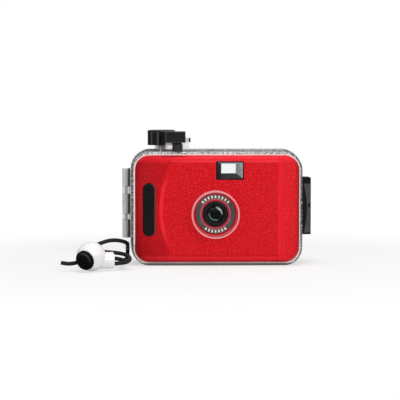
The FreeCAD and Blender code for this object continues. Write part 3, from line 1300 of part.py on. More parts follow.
# Wrist cord: one limp cord from the lock to the eye of the case and back through the lock
CORD_ROUTE = [
    (-71.7, -49.7, 4.4), (-66.9, -48.4, 4.4), (-61.8, -47.2, 4.5), (-57.2, -45.0, 5.2),
    (-55.8, -40.6, 6.9), (-58.2, -36.4, 8.7), (-62.8, -34.2, 9.7), (-68.4, -32.4, 10.0),
    (-74.0, -29.0, 10.1), (-79.2, -26.0, 10.3), (-84.2, -28.6, 10.9), (-87.0, -33.4, 11.7),
    (-85.8, -37.8, 12.7), (-81.6, -39.8, 13.7), (-77.2, -38.4, 15.5), (-73.4, -35.0, 16.8),
    (-69.6, -31.3, 17.6), (-65.2, -24.3, 17.2), (-60.8, -13.9, 15.5), (-58.4, -4.2, 13.3),
    (-58.4, 0.8, 12.5), (-58.4, 4.4, 10.2), (-58.5, 5.0, 6.4), (-58.6, 2.0, 3.8),
    (-58.8, -3.0, 3.2), (-59.9, -13.9, 3.6), (-61.2, -28.6, 4.0), (-60.6, -35.8, 4.7),
    (-60.7, -41.2, 5.9), (-63.0, -45.6, 7.1), (-67.4, -48.2, 7.9), (-73.2, -49.2, 7.8),
    (-80.2, -49.5, 7.1), (-87.2, -50.1, 5.8), (-91.8, -51.2, 4.8), (-95.8, -52.6, 4.7),
    (-99.2, -53.6, 5.5),
]


def route_edges(points):
    """Straight runs joined by tangent arcs, and the radii of the arcs."""
    spots = [FreeCAD.Vector(*spot) for spot in points]
    edges = []
    radii = []
    start = spots[0]
    for before, corner, after in zip(spots, spots[1:], spots[2:]):
        back = (before - corner).normalize()
        ahead = (after - corner).normalize()
        shorter = min((before - corner).Length, (after - corner).Length)
        half_turn = (math.pi - back.getAngle(ahead)) / 2
        radius = 0.45 * shorter / math.tan(half_turn)
        reach = 0.45 * shorter
        first = corner + back * reach
        last = corner + ahead * reach
        inward = (back + ahead).normalize()
        middle = corner + inward * (radius / math.cos(half_turn) - radius)
        edges.append(Part.LineSegment(start, first).toShape())
        edges.append(Part.Arc(first, middle, last).toShape())
        radii.append(radius)
        start = last
    edges.append(Part.LineSegment(start, spots[-1]).toShape())
    return edges, radii


def cord_tube(name, radius, points):
    """A round tube along a route."""
    edges, radii = route_edges(points)
    path = Part.Wire(edges)
    heading = FreeCAD.Vector(*points[1]) - FreeCAD.Vector(*points[0])
    section = Part.Wire(Part.Circle(FreeCAD.Vector(*points[0]), heading, radius).toShape())
    tube = doc.addObject("Part::Feature", name)
    tube.Shape = path.makePipeShell([section], True, False)
    share = tube.Shape.Volume / (math.pi * radius ** 2 * path.Length)
    print(f"{name}: length {path.Length:.1f} mm, volume over section times length {share:.4f}")
    print(f"{name}: radii {', '.join(f'{value:.1f}' for value in radii)}")
    return tube


# Cord lock: a ball with a collar, bored for the cord, and its round push button
def heading_of(turn, tilt):
    """A direction from a turn about +Z and a tilt upwards, in degrees."""
    flat = math.cos(math.radians(tilt))
    return FreeCAD.Vector(flat * math.cos(math.radians(turn)), flat * math.sin(math.radians(turn)),
                          math.sin(math.radians(tilt)))


def lock_rod(name, radius, heading, along, drop="0"):
    """A round rod along a heading, measured from the centre of the ball."""
    piece = doc.addObject("Part::Cylinder", name)
    piece.Placement = FreeCAD.Placement(FreeCAD.Vector(), FreeCAD.Rotation(Z_AXIS, heading))
    bind(piece, Radius=radius, Height=f"({along[1]}) - ({along[0]})")
    return place(piece, f"ball_x + {heading.x:.6f} * ({along[0]})",
                 f"ball_y + {heading.y:.6f} * ({along[0]})",
                 f"ball_r - ({drop}) + {heading.z:.6f} * ({along[0]})")


def cord_lock(bore):
    collar_way = heading_of(SIZES["collar_turn"], 0)
    cap_way = heading_of(SIZES["cap_turn"], SIZES["cap_tilt"])
    ball = doc.addObject("Part::Sphere", "lock_ball")
    bind(ball, Radius="ball_r")
    place(ball, "ball_x", "ball_y", "ball_r")
    collar = lock_rod("lock_collar", "collar_r", collar_way, ("0", "collar_length"), "collar_drop")
    seat = lock_rod("lock_cap_seat", "cap_r + cap_play", cap_way,
                    ("cap_seat - cap_travel - cap_play", "2 * ball_r"))
    node("cord_lock", cut("lock", fuse("lock_solid", ball, collar), seat, bore))
    cap = lock_rod("lock_cap", "cap_r", cap_way, ("cap_seat", "cap_seat + cap_thick"))
    dome = doc.addObject("Part::Sphere", "lock_cap_dome")
    reach = "(cap_seat + cap_thick - cap_dome_r)"
    bind(dome, Radius="cap_dome_r")
    place(dome, f"ball_x + {cap_way.x:.6f} * {reach}", f"ball_y + {cap_way.y:.6f} * {reach}",
          f"ball_r + {cap_way.z:.6f} * {reach}")
    node("cord_lock_button", shared("lock_button", cap, dome))


# The whole object, one node after another
def camera():
    node("case_front_shell", front_shell())
    node("case_rear_door", rear_door())
    node("case_gasket", gasket_frame("gasket", "0"))
    leaf, leaf_top = hinge_leaf()
    node("case_hinge_leaf", leaf)
    node("case_hinge_pin", rod("hinge_pin", "Z", "hinge_pin_r", ("hinge_z", leaf_top), (HINGE_X, "seam_y")))
    node("case_latch", latch())
    node("case_latch_pin", rod("latch_pin", "Z", "latch_pin_r", ("latch_z", "latch_z + latch_height"),
                               (LATCH_X, LATCH_Y)))
    knob = ("knob_x", "knob_y")
    press = ("button_x", "button_y")
    node("winding_knob", winding_knob())
    node("knob_shaft", knob_shaft())
    clip_top = f"({INNER_TOP} - clip_play)"
    node("knob_shaft_clip", ring("shaft_clip", "Z", "clip_r", "shaft_r + running",
                                 (f"{clip_top} - clip_thick", clip_top), knob))
    node("knob_shaft_seal", torus("shaft_seal", "shaft_r + seal_wire / 2", "seal_wire / 2 - running",
                                  (*knob, "case_height + shaft_boss_height - seal_wire / 2")))
    node("shutter_lever", shutter_lever())
    ears = ("button_x - ear_inner / 2 - ear_thick", "button_x + ear_inner / 2 + ear_thick")
    node("lever_pin", fuse("lever_pin_solid",
                           rod("lever_pin_rod", "X", "lever_pin_r", ears, (PIN_Y, PIN_Z)),
                           rod("lever_pin_head", "X", "lever_pin_head_r", (ears[1], f"{ears[1]} + pin_head"),
                               (PIN_Y, PIN_Z))))
    node("plunger", fuse("plunger_solid",
                         rod("plunger_top", "Z", "plunger_head_r", (HEAD_BASE, HEAD_TOP), press),
                         rod("plunger_rod", "Z", "plunger_r", (f"{BUTTON_TOP} + loose", HEAD_BASE), press)))
    node("plunger_clip", ring("plunger_clip_ring", "Z", "plunger_clip_r", "plunger_r + running",
                              (f"{clip_top} - plunger_clip", clip_top), press))
    node("plunger_seal", torus("plunger_seal_ring", "plunger_r + plunger_seal_wire / 2",
                               "plunger_seal_wire / 2 - running",
                               (*press, "case_height + plunger_boss_height - plunger_seal_wire / 2")))
    node("plunger_spring", coil_spring("plunger_coil", "plunger_spring_r", "plunger_spring_wire",
                                       "case_height", HEAD_BASE, SIZES["plunger_spring_turns"], press))
    node("camera_front_cover", front_cover())
    node("grip_strip", pill("grip_pill", "grip_width / 2", PANEL_FRONT, f"{CAM_FRONT} + grip_inset"))
    lens_group()
    node("shutter_blade", shutter_blade())
    viewfinder()
    node("camera_chassis", chassis())
    screws = []
    for index, spot in enumerate(SCREWS):
        head = rod(f"screw_head_{index}", "Y", "screw_head_r",
                   (FRONT_PLATE, f"{FRONT_PLATE} + screw_head"), spot)
        shank = rod(f"screw_shank_{index}", "Y", "screw_r",
                    (f"{FRONT_PLATE} - screw_length", FRONT_PLATE), spot)
        slot = box(f"screw_slot_{index}",
                   (f"{spot[0]} - screw_head_r - 1", f"{spot[0]} + screw_head_r + 1"),
                   (f"{FRONT_PLATE} + screw_head / 2", f"{FRONT_PLATE} + screw_head + 1"),
                   (f"{spot[1]} - screw_slot / 2", f"{spot[1]} + screw_slot / 2"))
        screws.append(cut(f"cover_screw_{index}", fuse(f"screw_solid_{index}", head, shank), slot))
    node("cover_screws", group("screw_set", *screws))
    node("wind_wheel", wind_wheel())
    node("take_up_spool", take_up_spool())
    node("film_sprocket", film_sprocket())
    frame_counter()
    node("rewind_release_button", rewind_release())
    rewind_crank()
    shutter_button()
    node("button_spring", coil_spring("button_coil", "button_spring_r", "button_spring_wire",
                                      f"{BRACKET_Z} + shelf", BUTTON_BASE,
                                      SIZES["button_spring_turns"], press))
    node("film_door", film_door())
    node("film_hinge_pin", rod("film_pin", "Z", "film_pin_r",
                               (KNUCKLE_LOW, f"{KNUCKLE_HIGH} + film_knuckle"),
                               (FILM_HINGE_X, "film_hinge_y")))
    node("door_light_seal", light_seal())
    pressure_plate()
    node("wrist_cord", cord_tube("cord", SIZES["cord_r"], CORD_ROUTE))
    cord_lock(cord_tube("cord_bore", number("cord_r + cord_play"), CORD_ROUTE))


def check_and_write():
    """Refuse a failed document, then write each node to its own file."""
    doc.recompute()
    failed = [piece.Name for piece in doc.Objects if {"Invalid", "Error"} & set(piece.State)]
    if failed:
        raise RuntimeError(f"failed objects: {failed}")
    for name, piece in NODES.items():
        shape = piece.Shape
        if shape.isNull() or not shape.isValid() or not shape.Solids:
            raise RuntimeError(f"bad shape: {name}")
    os.makedirs("parts", exist_ok=True)
    for name, piece in NODES.items():
        piece.Shape.exportStep(f"parts/{name}.step")
        print(f"{name}: {len(piece.Shape.Solids)} solid, {piece.Shape.Volume:.1f} cubic mm")
    print(f"{len(NODES)} nodes")


camera()
check_and_write()
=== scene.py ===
"""Looks of a reusable film camera inside its clear dive case, on a pale studio floor."""

import json
import logging
import math
from abc import ABC, abstractmethod
from dataclasses import dataclass
from enum import Enum
from functools import cached_property, partialmethod
from typing import Optional, Union

import bmesh
import bpy
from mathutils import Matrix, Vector

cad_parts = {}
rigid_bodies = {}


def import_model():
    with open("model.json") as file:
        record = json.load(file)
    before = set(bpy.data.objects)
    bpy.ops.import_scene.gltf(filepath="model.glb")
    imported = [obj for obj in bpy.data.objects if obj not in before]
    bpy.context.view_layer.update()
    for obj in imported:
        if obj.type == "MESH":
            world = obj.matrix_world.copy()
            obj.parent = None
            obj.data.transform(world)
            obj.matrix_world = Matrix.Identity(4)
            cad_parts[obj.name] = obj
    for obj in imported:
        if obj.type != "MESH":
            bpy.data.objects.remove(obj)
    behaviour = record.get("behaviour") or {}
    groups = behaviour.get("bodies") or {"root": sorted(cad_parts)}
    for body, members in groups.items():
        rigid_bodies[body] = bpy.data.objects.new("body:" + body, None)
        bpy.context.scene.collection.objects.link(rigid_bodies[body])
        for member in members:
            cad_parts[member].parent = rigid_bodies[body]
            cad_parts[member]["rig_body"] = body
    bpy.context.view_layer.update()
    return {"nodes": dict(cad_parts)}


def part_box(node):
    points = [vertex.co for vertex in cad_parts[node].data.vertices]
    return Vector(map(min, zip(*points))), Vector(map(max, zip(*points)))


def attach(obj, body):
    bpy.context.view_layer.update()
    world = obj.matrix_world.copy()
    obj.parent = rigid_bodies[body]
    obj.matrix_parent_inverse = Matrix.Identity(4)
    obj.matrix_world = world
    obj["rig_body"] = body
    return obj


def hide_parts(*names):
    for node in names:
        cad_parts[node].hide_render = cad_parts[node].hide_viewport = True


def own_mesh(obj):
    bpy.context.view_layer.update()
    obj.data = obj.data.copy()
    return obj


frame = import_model()

MM = 0.001
log = logging.getLogger("camera")

Number = Union[float, "Signal"]
Colour = tuple[float, float, float]
Point = tuple[float, float, float]
Spot = tuple[float, float]


class Slot(Enum):
    """The record's material slots."""

    RED = "red_plastic"
    RED_TRIM = "red_trim"
    GRIP = "black_rubbery"
    BLACK = "black_plastic"
    DARK = "dark_plastic"
    WHITE = "white_plastic"
    RING = "ring_plastic"
    GREY_METAL = "grey_metal"
    STEEL = "steel"
    BLACK_STEEL = "black_steel"
    SEAL = "seal_rubber"
    CORD = "black_cord"


class Signal:
    """A socket that takes part in Python expressions, each of which adds Math nodes."""

    def __init__(self, graph: "Graph", socket: bpy.types.NodeSocket) -> None:
        """Wrap one socket of a graph."""
        self.graph = graph
        self.socket = socket

    def of(self, operation: str, *others: Number) -> "Signal":
        """One Math node on this signal and what follows it."""
        return self.graph.node("Math", {"operation": operation}, dict(enumerate([self, *others])))

    # With masks, a * b is 1 where both are, and a | b, the greater, is 1 where either is.
    __add__ = partialmethod(of, "ADD")
    __radd__ = __add__
    __sub__ = partialmethod(of, "SUBTRACT")
    __mul__ = partialmethod(of, "MULTIPLY")
    __truediv__ = partialmethod(of, "DIVIDE")
    __gt__ = partialmethod(of, "GREATER_THAN")
    __lt__ = partialmethod(of, "LESS_THAN")
    __or__ = partialmethod(of, "MAXIMUM")
    __abs__ = partialmethod(of, "ABSOLUTE")

    def __rsub__(self, other: float) -> "Signal":
        """Difference from a number."""
        return self.graph.node("Math", {"operation": "SUBTRACT"}, {0: other, 1: self})

    def past(self, limit: float) -> "Signal":
        """How far this is above a limit, and 0 below it."""
        return (self - limit) | 0.0

    def swing(self, amount: float) -> "Signal":
        """Noise about 0.5 turned into noise about 0, of that range."""
        return (self - 0.5) * amount

    def ramp(self, low: float, high: float) -> "Signal":
        """0 at one value, 1 at the other, and smooth between."""
        return self.graph.node("MapRange", {"interpolation_type": "SMOOTHSTEP"},
                               {"Value": self, "From Min": low, "From Max": high})

    def within(self, low: float, high: float, soft: float) -> "Signal":
        """1 between two values and 0 outside them, with soft ends."""
        return self.ramp(low - soft, low + soft) * self.ramp(high + soft, high - soft)


class Graph:
    """The nodes of a material or of the surroundings, under construction."""

    def __init__(self, owner: Union[bpy.types.Material, bpy.types.World]) -> None:
        """Clear the owner's nodes and keep its tree."""
        owner.use_nodes = True
        self.owner = owner
        self.tree = owner.node_tree
        self.tree.nodes.clear()

    @classmethod
    def named(cls, name: str) -> "Graph":
        """Start an empty material of that name."""
        return cls(bpy.data.materials.new(name))

    def node(self, kind: str, settings: Optional[dict] = None, inputs: Optional[dict] = None,
             output: Union[int, str] = 0) -> Signal:
        """Add a node.

        Args:
            kind: The node's type, such as Math.
            settings: Properties, set before the inputs.
            inputs: Values or signals by the socket's name or number.
            output: The socket that the result reads.

        Returns:
            The chosen output.
        """
        node = self.tree.nodes.new(f"ShaderNode{kind}")
        for name, value in (settings or {}).items():
            setattr(node, name, value)
        for name, value in (inputs or {}).items():
            socket = node.inputs[name]
            if isinstance(value, Signal):
                self.tree.links.new(value.socket, socket)
            else:
                socket.default_value = value
        return Signal(self, node.outputs[output])

    @cached_property
    def place(self) -> Signal:
        """Object coordinates, in metres."""
        return self.node("TexCoord", output="Object")

    def axes(self, vector: Optional[Signal] = None) -> tuple[Signal, Signal, Signal]:
        """The three parts of a vector, or of the object coordinates."""
        split = self.node("SeparateXYZ", None, {0: vector or self.place}).socket.node
        return tuple(Signal(self, split.outputs[name]) for name in "XYZ")

    def facing(self) -> tuple[Signal, Signal, Signal]:
        """The three parts of the surface's own normal."""
        return self.axes(self.node("NewGeometry", output="Normal"))

    def about(self, centre: Spot) -> tuple[Signal, Signal, Signal]:
        """How far each point is from a line along Y: across, up, and in a straight line."""
        x, _, z = self.axes()
        across, up = x - centre[0], z - centre[1]
        return across, up, (across * across + up * up).of("SQRT")

    def noise(self, scale: float, detail: float = 2.0, roughness: float = 0.5,
              vector: Optional[Signal] = None) -> Signal:
        """Smooth noise from 0 to 1, with that many grains for each metre."""
        return self.node("TexNoise", None, {"Vector": vector or self.place, "Scale": scale,
                                                      "Detail": detail, "Roughness": roughness})

    def mix(self, factor: Number, first: Union[Colour, Signal], second: Union[Colour, Signal]) -> Signal:
        """Blend two colours."""
        colours = [value if isinstance(value, Signal) else (*value, 1.0) for value in (first, second)]
        return self.node("Mix", {"data_type": "RGBA"},
                         {"Factor": factor, 6: colours[0], 7: colours[1]}, output=2)

    def bump(self, height: Signal, depth: float, strength: float = 1.0) -> Signal:
        """A normal from a height, with its depth in metres."""
        return self.node("Bump", None,
                         {"Height": height, "Distance": depth, "Strength": strength}, output="Normal")

    def surface(self, **inputs: Union[float, Colour, Signal]) -> Signal:
        """A Principled shader; names of its sockets have _ for spaces."""
        named = {}
        for name, value in inputs.items():
            plain = isinstance(value, tuple) and len(value) == 3
            named[name.replace("_", " ")] = (*value, 1.0) if plain else value
        return self.node("BsdfPrincipled", None, named)

    def grained(self, colour: Signal, grain: Signal, roughness: float, swing: float, height: float,
                **inputs: Union[float, Signal]) -> Signal:
        """A Principled shader whose gloss and normal follow a grain of that height in metres."""
        return self.surface(Base_Color=colour, Roughness=roughness + grain.swing(swing),
                            Normal=self.bump(grain, height), **inputs)

    def glow(self, kind: str, strength: Number) -> Signal:
        """White light of one kind, Emission or Background."""
        return self.node(kind, None, {"Color": (1.0, 1.0, 1.0, 1.0), "Strength": strength})

    def edges(self, reach: float) -> Signal:
        """1 on edges and 0 a reach away from them, from how far a rounded normal turns there."""
        rounded = self.node("Bevel", {"samples": 6}, {"Radius": reach})
        plain = self.node("NewGeometry", output="Normal")
        return (1.0 - self.vector("DOT_PRODUCT", rounded, plain, "Value")).ramp(0.01, 0.16)

    def vector(self, operation: str, first: Signal, second: Union[Point, Signal] = (0.0, 0.0, 0.0),
               output: Union[int, str] = 0) -> Signal:
        """One Vector Math node."""
        return self.node("VectorMath", {"operation": operation}, {0: first, 1: second}, output)

    def rays(self, *kinds: str) -> list[Signal]:
        """1 for each of these kinds of ray, such as Is Camera Ray."""
        path = self.node("LightPath").socket.node
        return [Signal(self, path.outputs[kind]) for kind in kinds]

    def blend(self, factor: Number, first: Signal, second: Signal) -> Signal:
        """Mix two shaders."""
        return self.node("MixShader", None, {0: factor, 1: first, 2: second})

    def done(self, shader: Signal, end: str = "OutputMaterial") -> bpy.types.ID:
        """Send a shader to the output and return the material or the surroundings."""
        output = self.tree.nodes.new(f"ShaderNode{end}")
        self.tree.links.new(shader.socket, output.inputs["Surface"])
        return self.owner


class Finish(ABC):
    """How a surface looks."""

    def material(self, name: str) -> bpy.types.Material:
        """Build the material."""
        graph = Graph.named(name)
        return graph.done(self.shader(graph))

    @abstractmethod
    def shader(self, graph: Graph) -> Signal:
        """The finish's shader, made in that graph."""


@dataclass(frozen=True)
class Moulded(Finish):
    """Moulded plastic with a fine grain, faint colour drift, and lighter edges that are part wear and part
    painted highlight.

    Args:
        colour: Its linear colour.
        worn_and_lit: The colour of worn edges and of painted highlights.
        roughness: How dull it is.
        grain: Height of the grain in metres.
        grain_size: Distance between grains in metres.
        coat: Strength of a clear gloss on top.
        shine: Strength of its own gloss.
        reach: How far in from an edge it is lightened, in metres.
        lit_side: How much of a painted highlight its sides towards +X get, as if lit from that side.
    """

    colour: Colour
    worn_and_lit: Colour
    roughness: float = 0.4
    grain: float = 0.03 * MM
    grain_size: float = 0.4 * MM
    coat: float = 0.0
    shine: float = 0.25
    reach: float = 0.45 * MM
    lit_side: float = 0.0

    def shader(self, graph: Graph) -> Signal:
        """Wear, painted highlights and drift over the colour, and grain over the gloss."""
        grain = graph.noise(1.0 / self.grain_size, 2.0, 0.6)
        drift = graph.noise(70.0, 3.0)
        across, _, _ = graph.facing()
        # Lighter edges, part wear and part painted highlight, and a painted highlight on sides that face +X.
        wear_and_highlight = graph.edges(self.reach) * (drift * 0.6 + 0.4) | across.ramp(0.15, 0.6) * self.lit_side
        colour = graph.mix(drift * 0.08 + wear_and_highlight * 0.7, self.colour, self.worn_and_lit)
        roughness = self.roughness + grain.swing(0.18) + drift.swing(0.12)
        return graph.surface(Base_Color=colour, Roughness=roughness, Normal=graph.bump(grain, self.grain),
                             Specular_IOR_Level=self.shine, Coat_Weight=self.coat, Coat_Roughness=0.15)


@dataclass(frozen=True)
class SpeckledPaint(Finish):
    """Red moulding with fine lighter and darker flecks under a satin gloss.

    Args:
        colour: Its linear colour.
        light: The colour of its light flecks.
        dark: The colour of its dark flecks, and of the painted shade on the face left of the ridge.
        wear_and_highlight: The colour of its lighter edges and of the painted highlights on the ridge and the
            bands.
        roughness: How dull it is.
        shine: Strength of its gloss.
        top: Height above which the face leans back, with a painted highlight there.
        top_lean: How steeply it leans there.
        low: Height below which a painted highlight lies along the bottom.
        left_curve: How fast the face curves away left of the ridge, in slope for each metre, halved.
        bend: Place right of which the face leans back, across a bend and then less; a painted highlight runs
            along the bend.
        bend_width: How wide that bend is.
        bend_lean: How steeply it leans there.
        far_lean: How steeply it leans past the bend.
        ridge: Middle of the arc of the ridge beside the grip, across and up.
        ridge_radius: That arc's radius.
    """

    colour: Colour = (0.65, 0.0035, 0.0095)
    light: Colour = (0.84, 0.024, 0.036)
    dark: Colour = (0.50, 0.003, 0.008)
    wear_and_highlight: Colour = (0.90, 0.018, 0.034)
    roughness: float = 0.42
    shine: float = 0.09
    top: float = 67.0 * MM
    top_lean: float = 0.34
    low: float = 6.8 * MM
    left_curve: float = 17.0
    bend: float = 39.6 * MM
    bend_width: float = 4.2 * MM
    bend_lean: float = 0.30
    far_lean: float = 0.07
    ridge: Spot = (26.0 * MM, 36.0 * MM)
    ridge_radius: float = 63.0 * MM

    def from_ridge(self, graph: Graph) -> Signal:
        """How far each point is to the left of the ridge's arc, in metres."""
        _, _, radius = graph.about(self.ridge)
        return radius - self.ridge_radius

    def form(self, graph: Graph) -> Signal:
        """Height of the face in metres, as it leans back towards its edges."""
        x, _, z = graph.axes()
        top = z.past(self.top) * self.top_lean
        past_ridge = self.from_ridge(graph) | 0.0
        left = past_ridge * past_ridge * self.left_curve
        past = x.past(self.bend)
        right = past.of("MINIMUM", self.bend_width) * self.bend_lean + past * self.far_lean
        return 0.0 - (top + left + right)

    def lit_bands(self, graph: Graph) -> Signal:
        """How strongly highlights are painted along the top, the bottom and the bend."""
        x, _, z = graph.axes()
        ends = z.ramp(self.top - 0.6 * MM, self.top + 1.4 * MM) | z.ramp(self.low, self.low - 2.0 * MM)
        beyond = x.ramp(self.bend + 3.6 * MM, self.bend + 4.8 * MM)
        bend = x.ramp(self.bend - 0.4 * MM, self.bend + 0.8 * MM) * (0.75 - beyond * 0.5)
        return ends * 0.65 | bend

    def ridge_highlight(self, graph: Graph) -> Signal:
        """1 along the middle of the ridge beside the grip, where a highlight is painted."""
        past = self.from_ridge(graph)
        up = graph.axes()[2] - self.ridge[1]
        across = past.ramp(-2.6 * MM, -0.8 * MM) * past.ramp(0.9 * MM, 0.1 * MM)
        return across * abs(up).ramp(25.0 * MM, 12.0 * MM)

    def shader(self, graph: Graph) -> Signal:
        """Flecks, painted shade left of the ridge, and lighter edges and painted highlights on the ridge and
        the bands.
        """
        fleck = graph.noise(1000.0, 1.0, 0.5)
        cloud = graph.noise(780.0, 2.0, 0.6)
        drift = graph.noise(30.0, 2.0)
        flecked = fleck.ramp(0.50, 0.68)
        colour = graph.mix(flecked * 0.85, self.colour, self.light)
        colour = graph.mix(cloud.ramp(0.48, 0.66) * 0.5 + drift.swing(0.15), colour, self.dark)
        # Painted shade on the face left of the ridge.
        left = self.from_ridge(graph).ramp(0.4 * MM, 2.2 * MM)
        colour = graph.mix(left * (0.9 - flecked * 0.4), colour, self.dark)
        # Lighter edges, and painted highlights along the ridge and on the bands at the top, the bottom and
        # the bend.
        highlights = graph.edges(0.7 * MM) * 0.5 | self.ridge_highlight(graph) | self.lit_bands(graph)
        colour = graph.mix(highlights, colour, self.wear_and_highlight)
        normal = graph.bump(fleck * 0.02 * MM + self.form(graph), 1.0)
        return graph.surface(Base_Color=colour, Roughness=self.roughness + fleck.swing(0.2), Normal=normal,
                             Specular_IOR_Level=self.shine)


@dataclass(frozen=True)
class ClearPlastic(Finish):
    """Clear moulded plastic, nearly unseen face on and pale where it is seen along its walls.

    Args:
        tint: What passes through it.
        pale: The colour of its walls, seen along them.
        face: How much of it shows, seen face on.
        wall: How much more shows, seen along it.
        roughness: How dull its gloss is.
        streak: How much the streaks show.
    """

    tint: Colour = (0.985, 0.990, 0.990)
    pale: Colour = (0.88, 0.90, 0.90)
    face: float = 0.001
    wall: float = 0.90
    roughness: float = 0.12
    streak: float = 0.004

    def streaks(self, graph: Graph) -> tuple[Signal, Signal]:
        """How much the streaks show at each point, and the noise that they come from."""
        haze = graph.noise(160.0, 3.0, 0.6)
        return haze.ramp(0.6, 0.9) * self.streak, haze

    def frosted(self, graph: Graph) -> tuple[Signal, Signal]:
        """How frosted each point is, and the colour there; plain clear plastic has only faint streaks."""
        shown, haze = self.streaks(graph)
        return shown, graph.mix(haze, self.pale, self.tint)

    def shader(self, graph: Graph) -> Signal:
        """Gloss where it shows, and what is behind it elsewhere."""
        frost, colour = self.frosted(graph)
        along = graph.node("LayerWeight", None, {"Blend": 0.3}, output="Facing")
        shown = along.ramp(0.30, 1.0) * self.wall + self.face | frost
        wave = graph.noise(45.0, 1.0)
        gloss = graph.surface(Base_Color=colour, Roughness=self.roughness + wave * 0.05,
                              Normal=graph.bump(wave, 0.04 * MM, 0.4))
        through = graph.node("BsdfTransparent", None, {"Color": (*self.tint, 1.0)})
        return graph.blend(shown, through, gloss)


@dataclass(frozen=True)
class ClearShell(ClearPlastic):
    """Clear plastic of the case's halves, frosted round the lens window and the front and along the seam,
    where painted highlights, light and shade show.

    Args:
        port: The lens window's middle, across and up.
        port_radius: Its outer radius.
        port_wall: The width of its frosted rim.
        front: Where the flat front of the case is.
        top: Where the flat top of the case is.
        seam: Where the halves meet.
        flange: How far the frosted band reaches each side of the seam.
        camera: Half of the camera's size, across and up.
        camera_middle: How high the camera's middle is.
        corner: Radius of the camera's corners.
    """

    port: Spot = (0.0, 0.0)
    port_radius: float = 15.5 * MM
    port_wall: float = 1.0 * MM
    front: float = -20.0 * MM
    top: float = 75.0 * MM
    seam: float = 10.0 * MM
    flange: float = 2.2 * MM
    camera: Spot = (53.3 * MM, 34.8 * MM)
    camera_middle: float = 36.9 * MM
    corner: float = 9.5 * MM
    streak: float = 0.003

    def margin(self, x: Signal, z: Signal) -> Signal:
        """How far outside the camera's outline each point is, in metres."""
        past_side = abs(x).past(self.camera[0] - self.corner)
        past_top = abs(z - self.camera_middle).past(self.camera[1] - self.corner)
        return (past_side * past_side + past_top * past_top).of("SQRT") - self.corner

    def port_rim(self, graph: Graph) -> Signal:
        """1 on the rim of the lens window."""
        _, y, _ = graph.axes()
        _, _, radius = graph.about(self.port)
        inner = self.port_radius - self.port_wall
        rim = radius.ramp(inner - 0.1 * MM, inner + 0.2 * MM) * (radius < self.port_radius + 0.2 * MM)
        return rim * (y < self.front - 0.2 * MM)

    def frosted(self, graph: Graph) -> tuple[Signal, Signal]:
        """Painted highlights in pale pink round the window and next to the camera, painted light and shade in
        speckled grey round that and along the seam, and a painted shadow along the lower front.
        """
        x, y, z = graph.axes()
        _, towards, _ = graph.facing()
        rim = self.port_rim(graph)
        margin = self.margin(x, z)
        ears = z > self.top + 0.3 * MM
        round_front = (y < self.front + 4.0 * MM) * (margin > 0.1 * MM) * (abs(towards) > 0.35) * (1.0 - ears)
        band = (abs(y - self.seam) < self.flange) * (1.0 - ears)
        speck = graph.noise(900.0, 2.0, 0.7)
        # Painted light and shade: the speckle is a little lighter towards the top and darker towards the
        # right side.
        lighter = z.ramp(66.0 * MM, 72.0 * MM) * 0.03 - x.ramp(40.0 * MM, 56.0 * MM) * 0.055
        # Painted shadow along the lower front edge, where the case meets the floor.
        bottom_shadow = z.ramp(2.0 * MM, 1.6 * MM) * (y < self.front + 8.0 * MM)
        # Painted light and shade seen through the walls: speckled dark and light grey.
        colour = graph.mix((speck + lighter).ramp(0.44, 0.62), (0.030, 0.032, 0.030), (0.68, 0.69, 0.67))
        # Painted highlight, pink from the red behind, just outside the camera's outline.
        colour = graph.mix(margin.ramp(1.0 * MM, 0.6 * MM), colour, (0.95, 0.74, 0.75))
        colour = graph.mix(margin.ramp(-0.3 * MM, -0.7 * MM), colour, self.pale)
        # Painted highlight: bright white outside the seam's rail and on the ears.
        colour = graph.mix(margin.ramp(2.7 * MM, 2.9 * MM) | ears, colour, (0.93, 0.94, 0.93))
        colour = graph.mix(bottom_shadow, colour, (0.015, 0.015, 0.015))
        # Painted highlight, pink from the red behind, on the rim of the lens window.
        colour = graph.mix(rim, colour, (0.95, 0.58, 0.62))
        rail = band * margin.ramp(2.6 * MM, 2.8 * MM) * 0.9
        marked = (round_front | band) * (speck.ramp(0.3, 0.7) * 0.25 + 0.5)
        streaks, _ = self.streaks(graph)
        return rim * 0.5 | marked | rail | ears * 0.4 | streaks, colour


@dataclass(frozen=True)
class Metal(Finish):
    """Metal with fine brushing up and down.

    Args:
        colour: Its linear colour.
        roughness: How dull it is.
        metallic: How bare it is; the rest is a dull grey skin.
        gap_shade: The stretch across X where shade is painted, in the gap next to the case.
        shade_colour: The colour of that painted shade.
    """

    colour: Colour
    roughness: float = 0.3
    metallic: float = 1.0
    gap_shade: Spot = (0.0, 0.0)
    shade_colour: Colour = (0.012, 0.012, 0.015)

    def shader(self, graph: Graph) -> Signal:
        """Brushing and stains over the colour, and painted shade in the gap next to the case."""
        lined = graph.node("Mapping", None, {"Vector": graph.place, "Scale": (2600.0, 2600.0, 60.0)})
        brushed = graph.noise(1.0, 3.0, 0.6, lined)
        stain = graph.noise(120.0, 2.0)
        dull = tuple(part * 0.72 for part in self.colour)
        colour = graph.mix(brushed * 0.5 + stain.ramp(0.5, 0.8) * 0.3, self.colour, dull)
        # Painted shade in the gap between the hinge and the case.
        in_gap_shade = graph.axes()[0].within(*self.gap_shade, 0.1 * MM)
        colour = graph.mix(in_gap_shade * (stain * 0.4 + 0.6), colour, self.shade_colour)
        return graph.grained(colour, brushed, self.roughness, 0.25, 0.01 * MM, Metallic=self.metallic)


